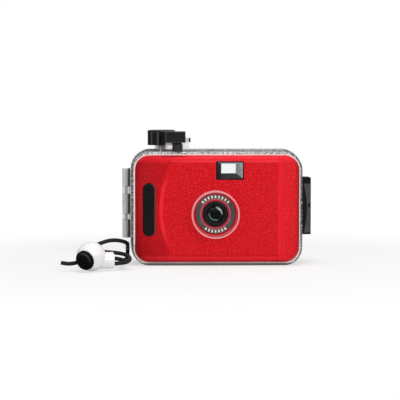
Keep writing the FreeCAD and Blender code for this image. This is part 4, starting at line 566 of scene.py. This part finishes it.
@dataclass(frozen=True)
class CoatedGlass(Finish):
    """Dark lens glass with a painted coating reflection, a green arc low on the left, and a painted
    highlight, a pale arc high on the right.

    Args:
        centre: The lens axis, across and up.
        rim: Radius of the glass.
    """

    centre: Spot
    rim: float = 5.4 * MM

    def ring(self, radius: Signal, inner: float, outer: float) -> Signal:
        """1 on a soft ring between two shares of the glass's radius."""
        return radius.within(self.rim * inner, self.rim * outer, self.rim * 0.06)

    def shader(self, graph: Graph) -> Signal:
        """The painted reflection and highlight arcs over the glass, under a clear gloss."""
        across, up, radius = graph.about(self.centre)
        # Painted coating reflection low on the left and painted highlight high on the right.
        low = (across + up * 1.4).ramp(-3.0 * MM, -5.0 * MM)
        high = (across * 1.2 + up).ramp(4.3 * MM, 5.7 * MM)
        bloom = graph.noise(320.0, 1.0)
        green = self.ring(radius, 0.66, 0.84) * (low * 0.85 + 0.10) * (bloom * 0.6 + 0.6)
        colour = graph.mix(green, (0.002, 0.003, 0.003), (0.14, 0.26, 0.24))
        colour = graph.mix(self.ring(radius, 0.68, 0.88) * high, colour, (0.68, 0.74, 0.74))
        return graph.surface(Base_Color=colour, Roughness=bloom * 0.02 + 0.04, Specular_IOR_Level=0.12,
                             Coat_Weight=0.35, Coat_Roughness=0.02)


@dataclass(frozen=True)
class Braid(Finish):
    """Woven cord, on the cord's own UV map.

    Args:
        colour: Its linear colour between the strands.
        light: The colour of the strands' tops.
        pitch: Turn of the strands along the cord.
        strands: How many strands run each way.
    """

    colour: Colour = (0.005, 0.005, 0.006)
    light: Colour = (0.024, 0.024, 0.027)
    pitch: float = 900.0
    strands: int = 4

    def shader(self, graph: Graph) -> Signal:
        """Strands that cross each other, under fuzz."""
        along, around, _ = graph.axes(graph.node("TexCoord", output="UV"))
        forward, sideways = along * self.pitch, around * (math.tau * self.strands)
        weave = (forward + sideways).of("SINE") | (forward - sideways).of("SINE")
        fuzz = graph.noise(3000.0, 2.0)
        colour = graph.mix(weave.ramp(-0.2, 1.0) * 0.7 + fuzz * 0.2, self.colour, self.light)
        return graph.surface(Base_Color=colour, Roughness=fuzz.swing(0.2) + 0.75,
                             Normal=graph.bump(weave, 0.12 * MM, 0.8), Specular_IOR_Level=0.2)


@dataclass(frozen=True)
class RingPrint(Finish):
    """Dark lens ring with two arcs of cream ticks, like the divisions of a dial.

    Args:
        centre: The lens axis, across and up.
        tick_low: Where the ticks start, out from the axis.
        tick_high: Where they end.
        edge: Where the red edge of the ring starts.
        top_ticks: How many ticks the upper arc has.
        low_ticks: How many the lower arc has.
    """

    centre: Spot
    tick_low: float = 10.45 * MM
    tick_high: float = 12.15 * MM
    edge: float = 12.45 * MM
    top_ticks: int = 9
    low_ticks: int = 7

    def _arc(self, angle: Signal, middle: float, half: float, ticks: int) -> Signal:
        """1 on the ticks of one arc, whose middle and half span are shares of a turn."""
        turn = (angle - middle + 1.5).of("FRACT") - 0.5
        step = ((turn + half) * (ticks / (2 * half))).of("FRACT")
        return (abs(turn) < half) * step.within(0.28, 0.76, 0.03)

    def shader(self, graph: Graph) -> Signal:
        """The ticks and the edge over a grained ring."""
        across, up, radius = graph.about(self.centre)
        angle = up.of("ARCTAN2", across) / math.tau + 0.5
        ticks = self._arc(angle, 0.75, 0.145, self.top_ticks) + self._arc(angle, 0.25, 0.109, self.low_ticks)
        ink = ticks * (radius > self.tick_low) * (radius < self.tick_high)
        fine = graph.noise(1700.0, 2.0)
        colour = graph.mix(fine.ramp(0.4, 0.75), (0.030, 0.040, 0.040), (0.13, 0.16, 0.16))
        colour = graph.mix(ink, colour, (0.86, 0.82, 0.66))
        colour = graph.mix(radius.ramp(self.edge, self.edge + 0.15 * MM) * 0.7, colour, (0.42, 0.07, 0.12))
        return graph.grained(colour, fine, 0.42, 0.2, 0.01 * MM)


@dataclass(frozen=True)
class RedTrim(Finish):
    """Deep red ring round the barrel with a paler polished rim.

    Args:
        centre: The lens axis, across and up.
        rim: Where the pale rim starts.
    """

    centre: Spot
    rim: float = 9.45 * MM

    def shader(self, graph: Graph) -> Signal:
        """The rim over a grained ring."""
        _, _, radius = graph.about(self.centre)
        fine = graph.noise(1500.0, 2.0)
        colour = graph.mix(fine.ramp(0.45, 0.75) * 0.6, (0.42, 0.010, 0.030), (0.60, 0.05, 0.09))
        colour = graph.mix(radius.ramp(self.rim, self.rim + 0.2 * MM) * 0.6, colour, (0.85, 0.30, 0.36))
        return graph.grained(colour, fine, 0.30, 0.15, 0.01 * MM)


@dataclass(frozen=True)
class TunnelPlastic(Finish):
    """Black plastic of the viewfinder, with grey stray-light grain on its upper and right inner walls.

    Args:
        middle: The tunnel's middle, across and up.
        half: Half of its size, across and up.
        stray: How strongly the stray light glows.
    """

    middle: Spot
    half: Spot
    stray: float = 0.25

    def shader(self, graph: Graph) -> Signal:
        """Grey grain on the lit walls, black elsewhere."""
        x, _, z = graph.axes()
        sideways, _, upwards = graph.facing()
        inside = (abs(x - self.middle[0]) < self.half[0]) * (abs(z - self.middle[1]) < self.half[1])
        walls = (sideways.ramp(-0.5, -0.9) | upwards.ramp(-0.5, -0.9)) * inside
        grain = graph.noise(1400.0, 2.0, 0.65)
        black = graph.mix(grain * 0.6, (0.002, 0.002, 0.0025), (0.007, 0.007, 0.0075))
        grey = graph.mix(grain.ramp(0.38, 0.62), (0.25, 0.25, 0.25), (0.95, 0.95, 0.95))
        glow = graph.mix(walls, (0.0, 0.0, 0.0), grey)
        return graph.grained(graph.mix(walls, black, grey), grain, 0.45, 0.2, 0.03 * MM,
                             Specular_IOR_Level=0.2, Emission_Color=glow, Emission_Strength=self.stray)


@dataclass(frozen=True)
class FlutedPlastic(Finish):
    """Black plastic of the winding knob, with painted grey highlights on the lands between its flutes.

    Args:
        centre: The knob's axis, across and in depth.
        inner: Radius inside which no highlight is painted.
        top: Height above which no highlight is painted.
        flutes: How many flutes it has.
    """

    centre: Spot
    inner: float
    top: float
    flutes: int = 12

    def shader(self, graph: Graph) -> Signal:
        """Painted highlights on the lands, broken into patches."""
        x, y, z = graph.axes()
        across, back = x - self.centre[0], y - self.centre[1]
        radius = (across * across + back * back).of("SQRT")
        outside = (radius > self.inner) * z.ramp(self.top, self.top - 1.0 * MM)
        land = (back.of("ARCTAN2", across) * float(self.flutes)).of("COSINE").ramp(-0.35, -0.95)
        patches = graph.noise(380.0, 2.0)
        grain = graph.noise(2600.0, 2.0)
        # Painted highlight on the lands, in patches.
        wear_and_highlight = land * outside * (patches * 0.7 + 0.3)
        colour = graph.mix(wear_and_highlight, (0.005, 0.005, 0.0055), (0.085, 0.085, 0.090))
        return graph.grained(colour, grain, 0.36, 0.2, 0.02 * MM, Specular_IOR_Level=0.25)


@dataclass(frozen=True)
class DomedPlastic(Finish):
    """Black plastic of the lock's button, with a painted highlight as a paler ring where its dome meets its
    skirt.

    Args:
        centre: A point on its axis.
        heading: The way that the button faces.
        ring: The painted highlight ring's inner and outer radius.
    """

    centre: Point
    heading: Point
    ring: Spot = (4.5 * MM, 5.3 * MM)

    def shader(self, graph: Graph) -> Signal:
        """The painted highlight ring, on the side that light from above on the right reaches."""
        out = graph.vector("SUBTRACT", graph.place, self.centre)
        radius = graph.vector("LENGTH", graph.vector("CROSS_PRODUCT", out, self.heading), output="Value")
        low, high = self.ring
        across, _, up = graph.axes(out)
        # Painted highlight on the side towards light from above on the right.
        lit = (up * 0.8 + across * 0.6).ramp(-4.0 * MM, 4.0 * MM)
        ring = radius.ramp(low - 0.2 * MM, low) * radius.ramp(high + 0.2 * MM, high) * lit
        grain = graph.noise(1800.0, 2.0)
        colour = graph.mix(ring, (0.0045, 0.004, 0.0045), (0.090, 0.080, 0.086))
        return graph.grained(colour, grain, 0.5, 0.2, 0.01 * MM, Specular_IOR_Level=0.04)


@dataclass(frozen=True)
class LatchPlastic(Finish):
    """Black plastic with a coarse grey face, as on the latch's plate; the black left of the face and in its
    notch is painted shade.

    Args:
        low: The face's lower left, across and up.
        high: Its upper right.
        waist: How far its left side bends in at the middle, widening the painted shade beside it.
        flare: How far its left side reaches out at its ends.
        notch: Width of the notch in its right side, painted dark as shade.
        notch_up: How far above its middle the notch is.
    """

    low: Spot
    high: Spot
    waist: float = 2.1 * MM
    flare: float = 0.9 * MM
    notch: float = 1.3 * MM
    notch_up: float = 1.8 * MM

    def face(self, x: Signal, z: Signal) -> Signal:
        """1 on the grey face; the black left of it and in the notch is painted shade."""
        middle, half = (self.low[1] + self.high[1]) / 2, (self.high[1] - self.low[1]) / 2
        up = (z - middle) / half
        # Painted shade: black left of the face, widest at the middle, and in the notch.
        left = (1.0 - up * up) * self.waist - self.flare + self.low[0]
        notch = (x > self.high[0] - self.notch) * (abs(z - middle - self.notch_up) < self.notch)
        return (x > left) * (x < self.high[0]) * (abs(up) < 1.0) * (1.0 - notch)

    def shader(self, graph: Graph) -> Signal:
        """The face over black plastic whose edges are lighter, part wear and part painted highlight."""
        x, _, z = graph.axes()
        grain = graph.noise(1100.0, 3.0, 0.7)
        cloud = graph.noise(260.0, 2.0)
        coarse = grain.ramp(0.36, 0.64) * 0.8 + cloud * 0.2
        grey = graph.mix(coarse, (0.036, 0.037, 0.038), (0.122, 0.123, 0.127))
        # Lighter edges, part wear and part painted highlight.
        worn_and_lit = graph.edges(0.5 * MM) * 0.6 + grain * 0.15
        black = graph.mix(worn_and_lit, (0.005, 0.005, 0.006), (0.045, 0.045, 0.048))
        return graph.grained(graph.mix(self.face(x, z), black, grey), grain, 0.5, 0.3, 0.06 * MM,
                             Specular_IOR_Level=0.12)


@dataclass(frozen=True)
class Palette:
    """Every finish that needs no place from the frame, built once each."""

    clear: Finish = ClearPlastic()
    red: Finish = SpeckledPaint()
    black: Finish = Moulded((0.006, 0.006, 0.0065), (0.035, 0.035, 0.037), 0.34, 0.02 * MM, 0.3 * MM)
    # The lever's pale, wide edges are a painted highlight.
    lever: Finish = Moulded((0.006, 0.006, 0.0065), (0.16, 0.16, 0.165), 0.34, 0.02 * MM, 0.3 * MM,
                            reach=1.2 * MM)
    dark: Finish = Moulded((0.030, 0.031, 0.033), (0.075, 0.076, 0.080), 0.5)
    # The grip's pale edges and its pale side towards +X are painted highlights.
    grip: Finish = Moulded((0.003, 0.003, 0.0033), (0.14, 0.11, 0.11), 0.62, 0.06 * MM, 0.6 * MM,
                           shine=0.08, reach=1.1 * MM, lit_side=1.0)
    white: Finish = Moulded((0.80, 0.80, 0.79), (0.66, 0.66, 0.64), 0.36, 0.01 * MM, 0.5 * MM, coat=0.3)
    seal: Finish = Moulded((0.20, 0.205, 0.21), (0.32, 0.32, 0.33), 0.65)
    boot: Finish = Moulded((0.026, 0.027, 0.026), (0.085, 0.087, 0.085), 0.6)
    gasket: Finish = Moulded((0.42, 0.425, 0.42), (0.72, 0.72, 0.71), 0.55, 0.05 * MM, 0.7 * MM)
    # The hinge's dark stretch is painted shade in the gap next to the case.
    hinge: Finish = Metal((0.82, 0.825, 0.83), 0.42, 0.25, gap_shade=(-58.2 * MM, -56.9 * MM))
    steel: Finish = Metal((0.62, 0.63, 0.64), 0.24)
    black_steel: Finish = Moulded((0.010, 0.010, 0.011), (0.06, 0.06, 0.065), 0.28)
    braid: Finish = Braid()


def body_of(node: str) -> str:
    """The body that a CAD node rides on."""
    return frame["nodes"][node]["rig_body"]


def middle_of(node: str) -> Vector:
    """The middle of a CAD node's box."""
    low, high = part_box(node)
    return (low + high) / 2


def copy_of(node: str) -> bmesh.types.BMesh:
    """A CAD node's mesh with its loose triangles joined."""
    bm = bmesh.new()
    bm.from_mesh(frame["nodes"][node].data)
    bmesh.ops.remove_doubles(bm, verts=bm.verts, dist=0.002 * MM)
    return bm


def smooth(bm: bmesh.types.BMesh) -> None:
    """Shade every face smooth."""
    for face in bm.faces:
        face.smooth = True


def mesh_of(name: str, bm: bmesh.types.BMesh) -> bpy.types.Mesh:
    """Turn a finished bmesh into a mesh."""
    mesh = bpy.data.meshes.new(name)
    bm.to_mesh(mesh)
    bm.free()
    return mesh


def show(name: str, data: bpy.types.ID) -> bpy.types.Object:
    """Stand an object with that data in the scene."""
    thing = bpy.data.objects.new(name, data)
    bpy.context.scene.collection.objects.link(thing)
    return thing


class Workshop:
    """What every sub-assembly shares: finishes, and ways to dress CAD nodes and to add pieces."""

    flat = math.radians(0.6)
    rounded_from = math.radians(30.0)
    flat_weight = 60

    def __init__(self, palette: Palette) -> None:
        """Keep the finishes and the materials made so far."""
        self.palette = palette
        self.made: dict[str, bpy.types.Material] = {}

    def add(self, name: str, finish: Finish) -> None:
        """Build the material of a finish."""
        self.made[name] = finish.material(name)

    def finish(self, name: str) -> bpy.types.Material:
        """The material of a named finish, built the first time."""
        if name not in self.made:
            self.add(name, getattr(self.palette, name))
        return self.made[name]

    def dress(self, finish: str, *nodes: str) -> None:
        """Give CAD nodes a finish and leave their shape alone."""
        for name in nodes:
            mesh = frame["nodes"][name].data
            mesh.materials.clear()
            mesh.materials.append(self.finish(finish))
            log.info("dressed %s in %s", name, finish)

    def mould(self, node: str, finish: str, slot: Slot, edge: float = 0.3 * MM, segments: int = 3,
              crease: float = 30.0) -> bpy.types.Object:
        """Stand a copy of a CAD node with softly rounded edges in its place.

        Args:
            node: The CAD node.
            finish: The finish of the copy.
            slot: The record's slot; not used.
            edge: How wide its edges are rounded.
            segments: Steps of the rounding.
            crease: Edges sharper than this, in degrees, stay crisp.

        Returns:
            The piece.
        """
        bm = copy_of(node)
        bmesh.ops.dissolve_limit(bm, angle_limit=self.flat, verts=bm.verts, edges=bm.edges)
        smooth(bm)
        for line in bm.edges:
            line.smooth = not (line.is_manifold and line.calc_face_angle(0.0) > math.radians(crease))
        piece = self.piece(f"{node}_moulding", bm, finish, slot, body_of(node))
        bevel = piece.modifiers.new("soft_edges", "BEVEL")
        bevel.width = edge
        bevel.segments = segments
        bevel.limit_method = "ANGLE"
        bevel.angle_limit = self.rounded_from
        bevel.use_clamp_overlap = True
        bevel.harden_normals = True
        flats = piece.modifiers.new("flat_faces", "WEIGHTED_NORMAL")
        flats.keep_sharp = True
        flats.weight = self.flat_weight
        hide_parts(node)
        return piece

    def spring(self, node: str, finish: str) -> None:
        """Stand a smooth copy of a coiled spring in its place, with a mesh of its own.

        Args:
            node: The CAD node.
            finish: The finish of the copy.
        """
        bm = copy_of(node)
        smooth(bm)
        coil = self.piece(f"{node}_coil", bm, finish, Slot.STEEL, body_of(node))
        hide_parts(node)
        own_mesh(coil)

    def piece(self, name: str, bm: bmesh.types.BMesh, finish: str, slot: Slot, body: str) -> bpy.types.Object:
        """Turn a finished bmesh into a piece that rides on a body."""
        mesh = mesh_of(name, bm)
        mesh.materials.append(self.finish(finish))
        thing = show(name, mesh)
        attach(thing, body)
        log.info("made %s on %s", name, body)
        return thing


@dataclass(frozen=True)
class Lamp:
    """A square soft lamp, with its place and width in metres."""

    name: str
    place: Point
    width: float
    watts: float


@dataclass
class Studio:
    """Camera, lamps, floor and surroundings, in metres and degrees."""

    aim: Point = (-0.01065, 0.0, 0.0415)
    distance: float = 1.2
    elevation: float = 3.75
    azimuth: float = -1.2
    view_width: float = 0.26362
    sensor: float = 36.0
    floor_reach: float = 30.0
    floor_height: float = -0.1 * MM
    shadow_reach: float = 0.12
    clean_reach: float = 0.28
    lamps: tuple[Lamp, ...] = (
        Lamp("key", (0.477, -1.04, 0.52), 0.34, 5.2),
        Lamp("fill", (-0.75, -0.70, 0.25), 0.6, 1.1),
        Lamp("top", (0.05, -0.10, 0.95), 0.5, 5.0),
    )

    def camera(self) -> None:
        """Set up the camera at the photograph's angle."""
        data = bpy.data.cameras.new("view")
        data.sensor_width = self.sensor
        data.lens = self.sensor * self.distance / self.view_width
        eye = show("view", data)
        turn, rise = math.radians(self.azimuth), math.radians(self.elevation)
        back = Vector((math.sin(turn) * math.cos(rise), -math.cos(turn) * math.cos(rise), math.sin(rise)))
        eye.location = Vector(self.aim) + back * self.distance
        eye.rotation_euler = (-back).to_track_quat("-Z", "Y").to_euler()
        bpy.context.scene.camera = eye

    def hang(self, lamp: Lamp) -> None:
        """Hang a lamp that points at the object."""
        data = bpy.data.lights.new(lamp.name, "AREA")
        data.size = lamp.width
        data.energy = lamp.watts
        thing = show(lamp.name, data)
        thing.location = lamp.place
        thing.rotation_euler = (Vector(self.aim) - Vector(lamp.place)).to_track_quat("-Z", "Y").to_euler()

    def pale(self) -> bpy.types.Material:
        """The floor's finish: matt under the object, white further out, and dim where gloss mirrors it."""
        graph = Graph.named("pale_floor")
        eye, through, mirrored, scattered = graph.rays(
            "Is Camera Ray", "Is Transmission Ray", "Is Glossy Ray", "Is Diffuse Ray")
        x, y, _ = graph.axes()
        away = (x * x + y * y).of("SQRT").ramp(self.shadow_reach, self.clean_reach)
        seen = (eye | through) * (away * 0.45 + 0.55) + scattered * 0.3
        matt = graph.surface(Base_Color=(0.80, 0.80, 0.80), Roughness=0.9, Specular_IOR_Level=0.1)
        lit = graph.blend(seen, matt, graph.glow("Emission", 1.0))
        return graph.done(graph.blend(mirrored, lit, graph.glow("Emission", 0.16)))

    def floor(self) -> None:
        """A pale floor that keeps a soft shadow near the object."""
        bm = bmesh.new()
        bmesh.ops.create_grid(bm, x_segments=1, y_segments=1, size=self.floor_reach)
        mesh = mesh_of("floor", bm)
        mesh.materials.append(self.pale())
        floor = show("floor", mesh)
        floor.location = (0.0, 0.0, self.floor_height)

    def surroundings(self) -> None:
        """White to the eye and through clear plastic, grey for light, and dim low down for gloss."""
        graph = Graph(bpy.data.worlds.new("surroundings"))
        eye, through, mirrored = graph.rays("Is Camera Ray", "Is Transmission Ray", "Is Glossy Ray")
        _, _, up = graph.axes()
        sky = up.ramp(-0.1, 0.9) * 0.65 - 0.25
        strength = (eye | through) * 0.55 + mirrored * sky + 0.45
        bpy.context.scene.world = graph.done(graph.glow("Background", strength), "OutputWorld")

    def build(self) -> None:
        """Build it all."""
        self.camera()
        self.floor()
        self.surroundings()
        for lamp in self.lamps:
            self.hang(lamp)
        bpy.context.scene.view_settings.view_transform = "Standard"


class Assembly(ABC):
    """A group of pieces that is built in one go."""

    @abstractmethod
    def build(self, shop: Workshop) -> None:
        """Dress the group's CAD nodes and stand its own pieces."""


@dataclass
class WristCord(Assembly):
    """Limp wrist cord that runs from its ball-shaped lock through the eye of the case and back.

    Its route is in millimetres, and the angles of the lock's button are in degrees.
    """

    radius: float = 1.3 * MM
    length: float = 215.5 * MM
    lock_centre: Point = (-80.4 * MM, -52.0 * MM, 9.3 * MM)
    button_turn: float = 239.0
    button_tilt: float = -14.5
    route: tuple[Point, ...] = (
        (-71.7, -49.7, 4.4), (-66.9, -48.4, 4.4), (-61.8, -47.2, 4.5), (-57.2, -45.0, 5.2),
        (-55.8, -40.6, 6.9), (-58.2, -36.4, 8.7), (-62.8, -34.2, 9.7), (-68.4, -32.4, 10.0),
        (-74.0, -29.0, 10.1), (-79.2, -26.0, 10.3), (-84.2, -28.6, 10.9), (-87.0, -33.4, 11.7),
        (-85.8, -37.8, 12.7), (-81.6, -39.8, 13.7), (-77.2, -38.4, 15.5), (-73.4, -35.0, 16.8),
        (-69.6, -31.3, 17.6), (-65.2, -24.3, 17.2), (-60.8, -13.9, 15.5), (-58.4, -4.2, 13.3),
        (-58.4, 0.8, 12.5), (-58.4, 4.4, 10.2), (-58.5, 5.0, 6.4), (-58.6, 2.0, 3.8),
        (-58.8, -3.0, 3.2), (-59.9, -13.9, 3.6), (-61.2, -28.6, 4.0), (-60.6, -35.8, 4.7),
        (-60.7, -41.2, 5.9), (-63.0, -45.6, 7.1), (-67.4, -48.2, 7.9), (-73.2, -49.2, 7.8),
        (-80.2, -49.5, 7.1), (-87.2, -50.1, 5.8), (-91.8, -51.2, 4.8), (-95.8, -52.6, 4.7),
        (-99.2, -53.6, 5.5),
    )

    def line(self) -> bpy.types.Curve:
        """The cord's middle line, as thick as the cord."""
        curve = bpy.data.curves.new("wrist_cord_line", "CURVE")
        curve.dimensions = "3D"
        line = curve.splines.new("NURBS")
        line.points.add(len(self.route) - 1)
        for point, spot in zip(line.points, self.route):
            point.co = (*(value * MM for value in spot), 1.0)
        line.order_u = 3
        line.use_endpoint_u = True
        line.resolution_u = 8
        curve.bevel_depth = self.radius
        curve.bevel_resolution = 5
        curve.use_fill_caps = True
        return curve

    def build(self, shop: Workshop) -> None:
        """Build the cord and stand a softer copy of its lock in place."""
        curve = self.line()
        cord = show("wrist_cord_braided", curve)
        curve.materials.append(shop.finish("braid"))
        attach(cord, "case")
        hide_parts("wrist_cord")
        lock = shop.mould("cord_lock", "white", Slot.WHITE)
        turn, tilt = math.radians(self.button_turn), math.radians(self.button_tilt)
        heading = (math.cos(turn) * math.cos(tilt), math.sin(turn) * math.cos(tilt), math.sin(tilt))
        shop.add("domed", DomedPlastic(self.lock_centre, heading))
        button = shop.mould("cord_lock_button", "domed", Slot.BLACK, 0.4 * MM)


@dataclass
class DiveCase(Assembly):
    """Clear shells with their gasket and hinge, and a latch whose grey plate is set in at two corners."""

    plate_low: Spot = (2.1 * MM, 1.2 * MM)
    plate_high: Spot = (0.5 * MM, 4.2 * MM)

    def build(self, shop: Workshop) -> None:
        """Dress the shells and stand softer copies of the fittings in place."""
        port = middle_of("lens_name_ring")
        shop.add("clear_shell", ClearShell(port=(port.x, port.z)))
        shop.dress("clear_shell", "case_front_shell", "case_rear_door")
        shop.dress("gasket", "case_gasket")
        shop.dress("steel", "case_hinge_pin", "case_latch_pin")
        shop.mould("case_hinge_leaf", "hinge", Slot.GREY_METAL, 0.15 * MM)
        low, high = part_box("case_latch")
        lower_left = (low.x + self.plate_low[0], low.z + self.plate_low[1])
        upper_right = (high.x - self.plate_high[0], high.z - self.plate_high[1])
        shop.add("latch", LatchPlastic(lower_left, upper_right))
        shop.mould("case_latch", "latch", Slot.BLACK, 0.35 * MM)


@dataclass
class WindingGear(Assembly):
    """Knob and shaft on top of the case."""

    flute_depth: float = 0.9 * MM
    rim: float = 0.8 * MM

    def build(self, shop: Workshop) -> None:
        """Round the knob's edges and dress its shaft."""
        low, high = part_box("winding_knob")
        middle = (low + high) / 2
        lands = (high.x - low.x) / 2 - self.flute_depth
        shop.add("fluted", FlutedPlastic((middle.x, middle.y), lands, high.z - self.rim))
        shop.mould("winding_knob", "fluted", Slot.BLACK)
        shop.dress("steel", "knob_shaft", "knob_shaft_clip")
        shop.dress("seal", "knob_shaft_seal")


@dataclass
class ShutterGear(Assembly):
    """Lever on the case, the plunger under it with its boot and spring, and the button that it presses.

    The boot's sizes are its radii: inside, between its folds and on a fold.
    """

    boot_inner: float = 3.08 * MM
    boot_waist: float = 3.22 * MM
    boot_fold: float = 3.55 * MM
    folds: int = 4
    plunger_travel: float = 1.5 * MM

    def boot(self, shop: Workshop) -> None:
        """Spin the rubber boot that folds round the plunger's spring."""
        low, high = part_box("plunger_spring")
        middle = (low + high) / 2
        height = high.z - low.z
        profile = [(self.boot_inner, high.z), (self.boot_inner, low.z), (self.boot_fold, low.z)]
        for fold in range(self.folds):
            profile.append((self.boot_waist, low.z + height * (fold + 0.5) / self.folds))
            profile.append((self.boot_fold, low.z + height * (fold + 1.0) / self.folds))
        bm = bmesh.new()
        corners = [bm.verts.new((middle.x + radius, middle.y, z)) for radius, z in profile]
        lines = [bm.edges.new(pair) for pair in zip(corners, corners[1:] + corners[:1])]
        bmesh.ops.spin(bm, geom=corners + lines, cent=(middle.x, middle.y, 0.0), axis=(0.0, 0.0, 1.0),
                       angle=math.tau, steps=32, use_merge=True)
        bmesh.ops.recalc_face_normals(bm, faces=bm.faces)
        smooth(bm)
        boot = shop.piece("plunger_boot", bm, "boot", Slot.SEAL, "case")
        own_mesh(boot)

    def build(self, shop: Workshop) -> None:
        """Round the lever's edges, stand copies of the springs and the boot, and dress the rest."""
        shop.mould("shutter_lever", "lever", Slot.BLACK, 0.7 * MM, 4)
        shop.mould("lever_pin", "black_steel", Slot.BLACK_STEEL, 0.2 * MM)
        shop.mould("plunger", "black", Slot.BLACK, 0.2 * MM)
        shop.mould("shutter_button", "black", Slot.BLACK)
        shop.spring("plunger_spring", "black_steel")
        shop.spring("button_spring", "steel")
        self.boot(shop)
        shop.dress("steel", "plunger_clip")
        shop.dress("seal", "plunger_seal")
        shop.dress("dark", "release_lever")


class CameraBody(Assembly):
    """Red front, grip strip, chassis and film door."""

    def build(self, shop: Workshop) -> None:
        """Round the front's edges and dress the rest."""
        shop.mould("camera_front_cover", "red", Slot.RED, 0.5 * MM, crease=15.0)
        shop.mould("grip_strip", "grip", Slot.GRIP, 0.6 * MM, 4)
        shop.mould("camera_chassis", "dark", Slot.BLACK, 0.15 * MM, 2)
        shop.mould("film_door", "black", Slot.BLACK)
        shop.dress("steel", "cover_screws", "film_hinge_pin", "pressure_spring")
        shop.dress("black_steel", "pressure_plate")
        shop.dress("seal", "door_light_seal")


class FilmWorks(Assembly):
    """Winding wheel, spool, sprocket, counter and rewind pieces."""

    def build(self, shop: Workshop) -> None:
        """Round the wheel, the crank and its handle, and dress the rest."""
        shop.mould("wind_wheel", "dark", Slot.DARK, 0.15 * MM)
        shop.dress("dark", "take_up_spool", "film_sprocket", "rewind_release_button", "rewind_fork")
        shop.mould("rewind_crank", "dark", Slot.DARK)
        shop.mould("rewind_handle", "black", Slot.DARK)
        shop.dress("white", "frame_counter_dial")
        shop.dress("clear", "frame_counter_window")


class LensGroup(Assembly):
    """Barrel, rings, glasses and shutter."""

    def build(self, shop: Workshop) -> None:
        """Round the rings and the barrel, and dress the rest."""
        middle = middle_of("lens_name_ring")
        axis = (middle.x, middle.z)
        shop.add("ring_print", RingPrint(axis))
        shop.add("red_trim", RedTrim(axis))
        shop.add("glass", CoatedGlass(axis))
        shop.mould("lens_name_ring", "ring_print", Slot.RING, 0.35 * MM, 4)
        shop.mould("lens_trim_ring", "red_trim", Slot.RED_TRIM)
        shop.mould("lens_barrel", "black", Slot.BLACK, 0.4 * MM, 4)
        shop.dress("glass", "lens_front_glass", "lens_rear_glass")
        shop.dress("black_steel", "aperture_plate", "shutter_blade")


@dataclass
class Viewfinder(Assembly):
    """Black tunnel with two clear windows."""

    wall: float = 0.4 * MM

    def build(self, shop: Workshop) -> None:
        """Round the tunnel's edges and dress its windows."""
        low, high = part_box("viewfinder_frame")
        middle, half = (low + high) / 2, (high - low) / 2
        shop.add("tunnel", TunnelPlastic((middle.x, middle.z), (half.x - self.wall, half.z - self.wall)))
        shop.mould("viewfinder_frame", "tunnel", Slot.BLACK, 0.2 * MM)
        shop.dress("clear", "viewfinder_front_window", "viewfinder_eyepiece")


def main() -> None:
    """Build the scene, one sub-assembly after another."""
    logging.basicConfig(level=logging.INFO, format="%(message)s")
    Studio().build()
    shop = Workshop(Palette())
    for part in (WristCord, DiveCase, WindingGear, ShutterGear, CameraBody, FilmWorks, LensGroup, Viewfinder):
        part().build(shop)
        log.info("finished %s", part.__name__)


if __name__ == "__main__":
    main()
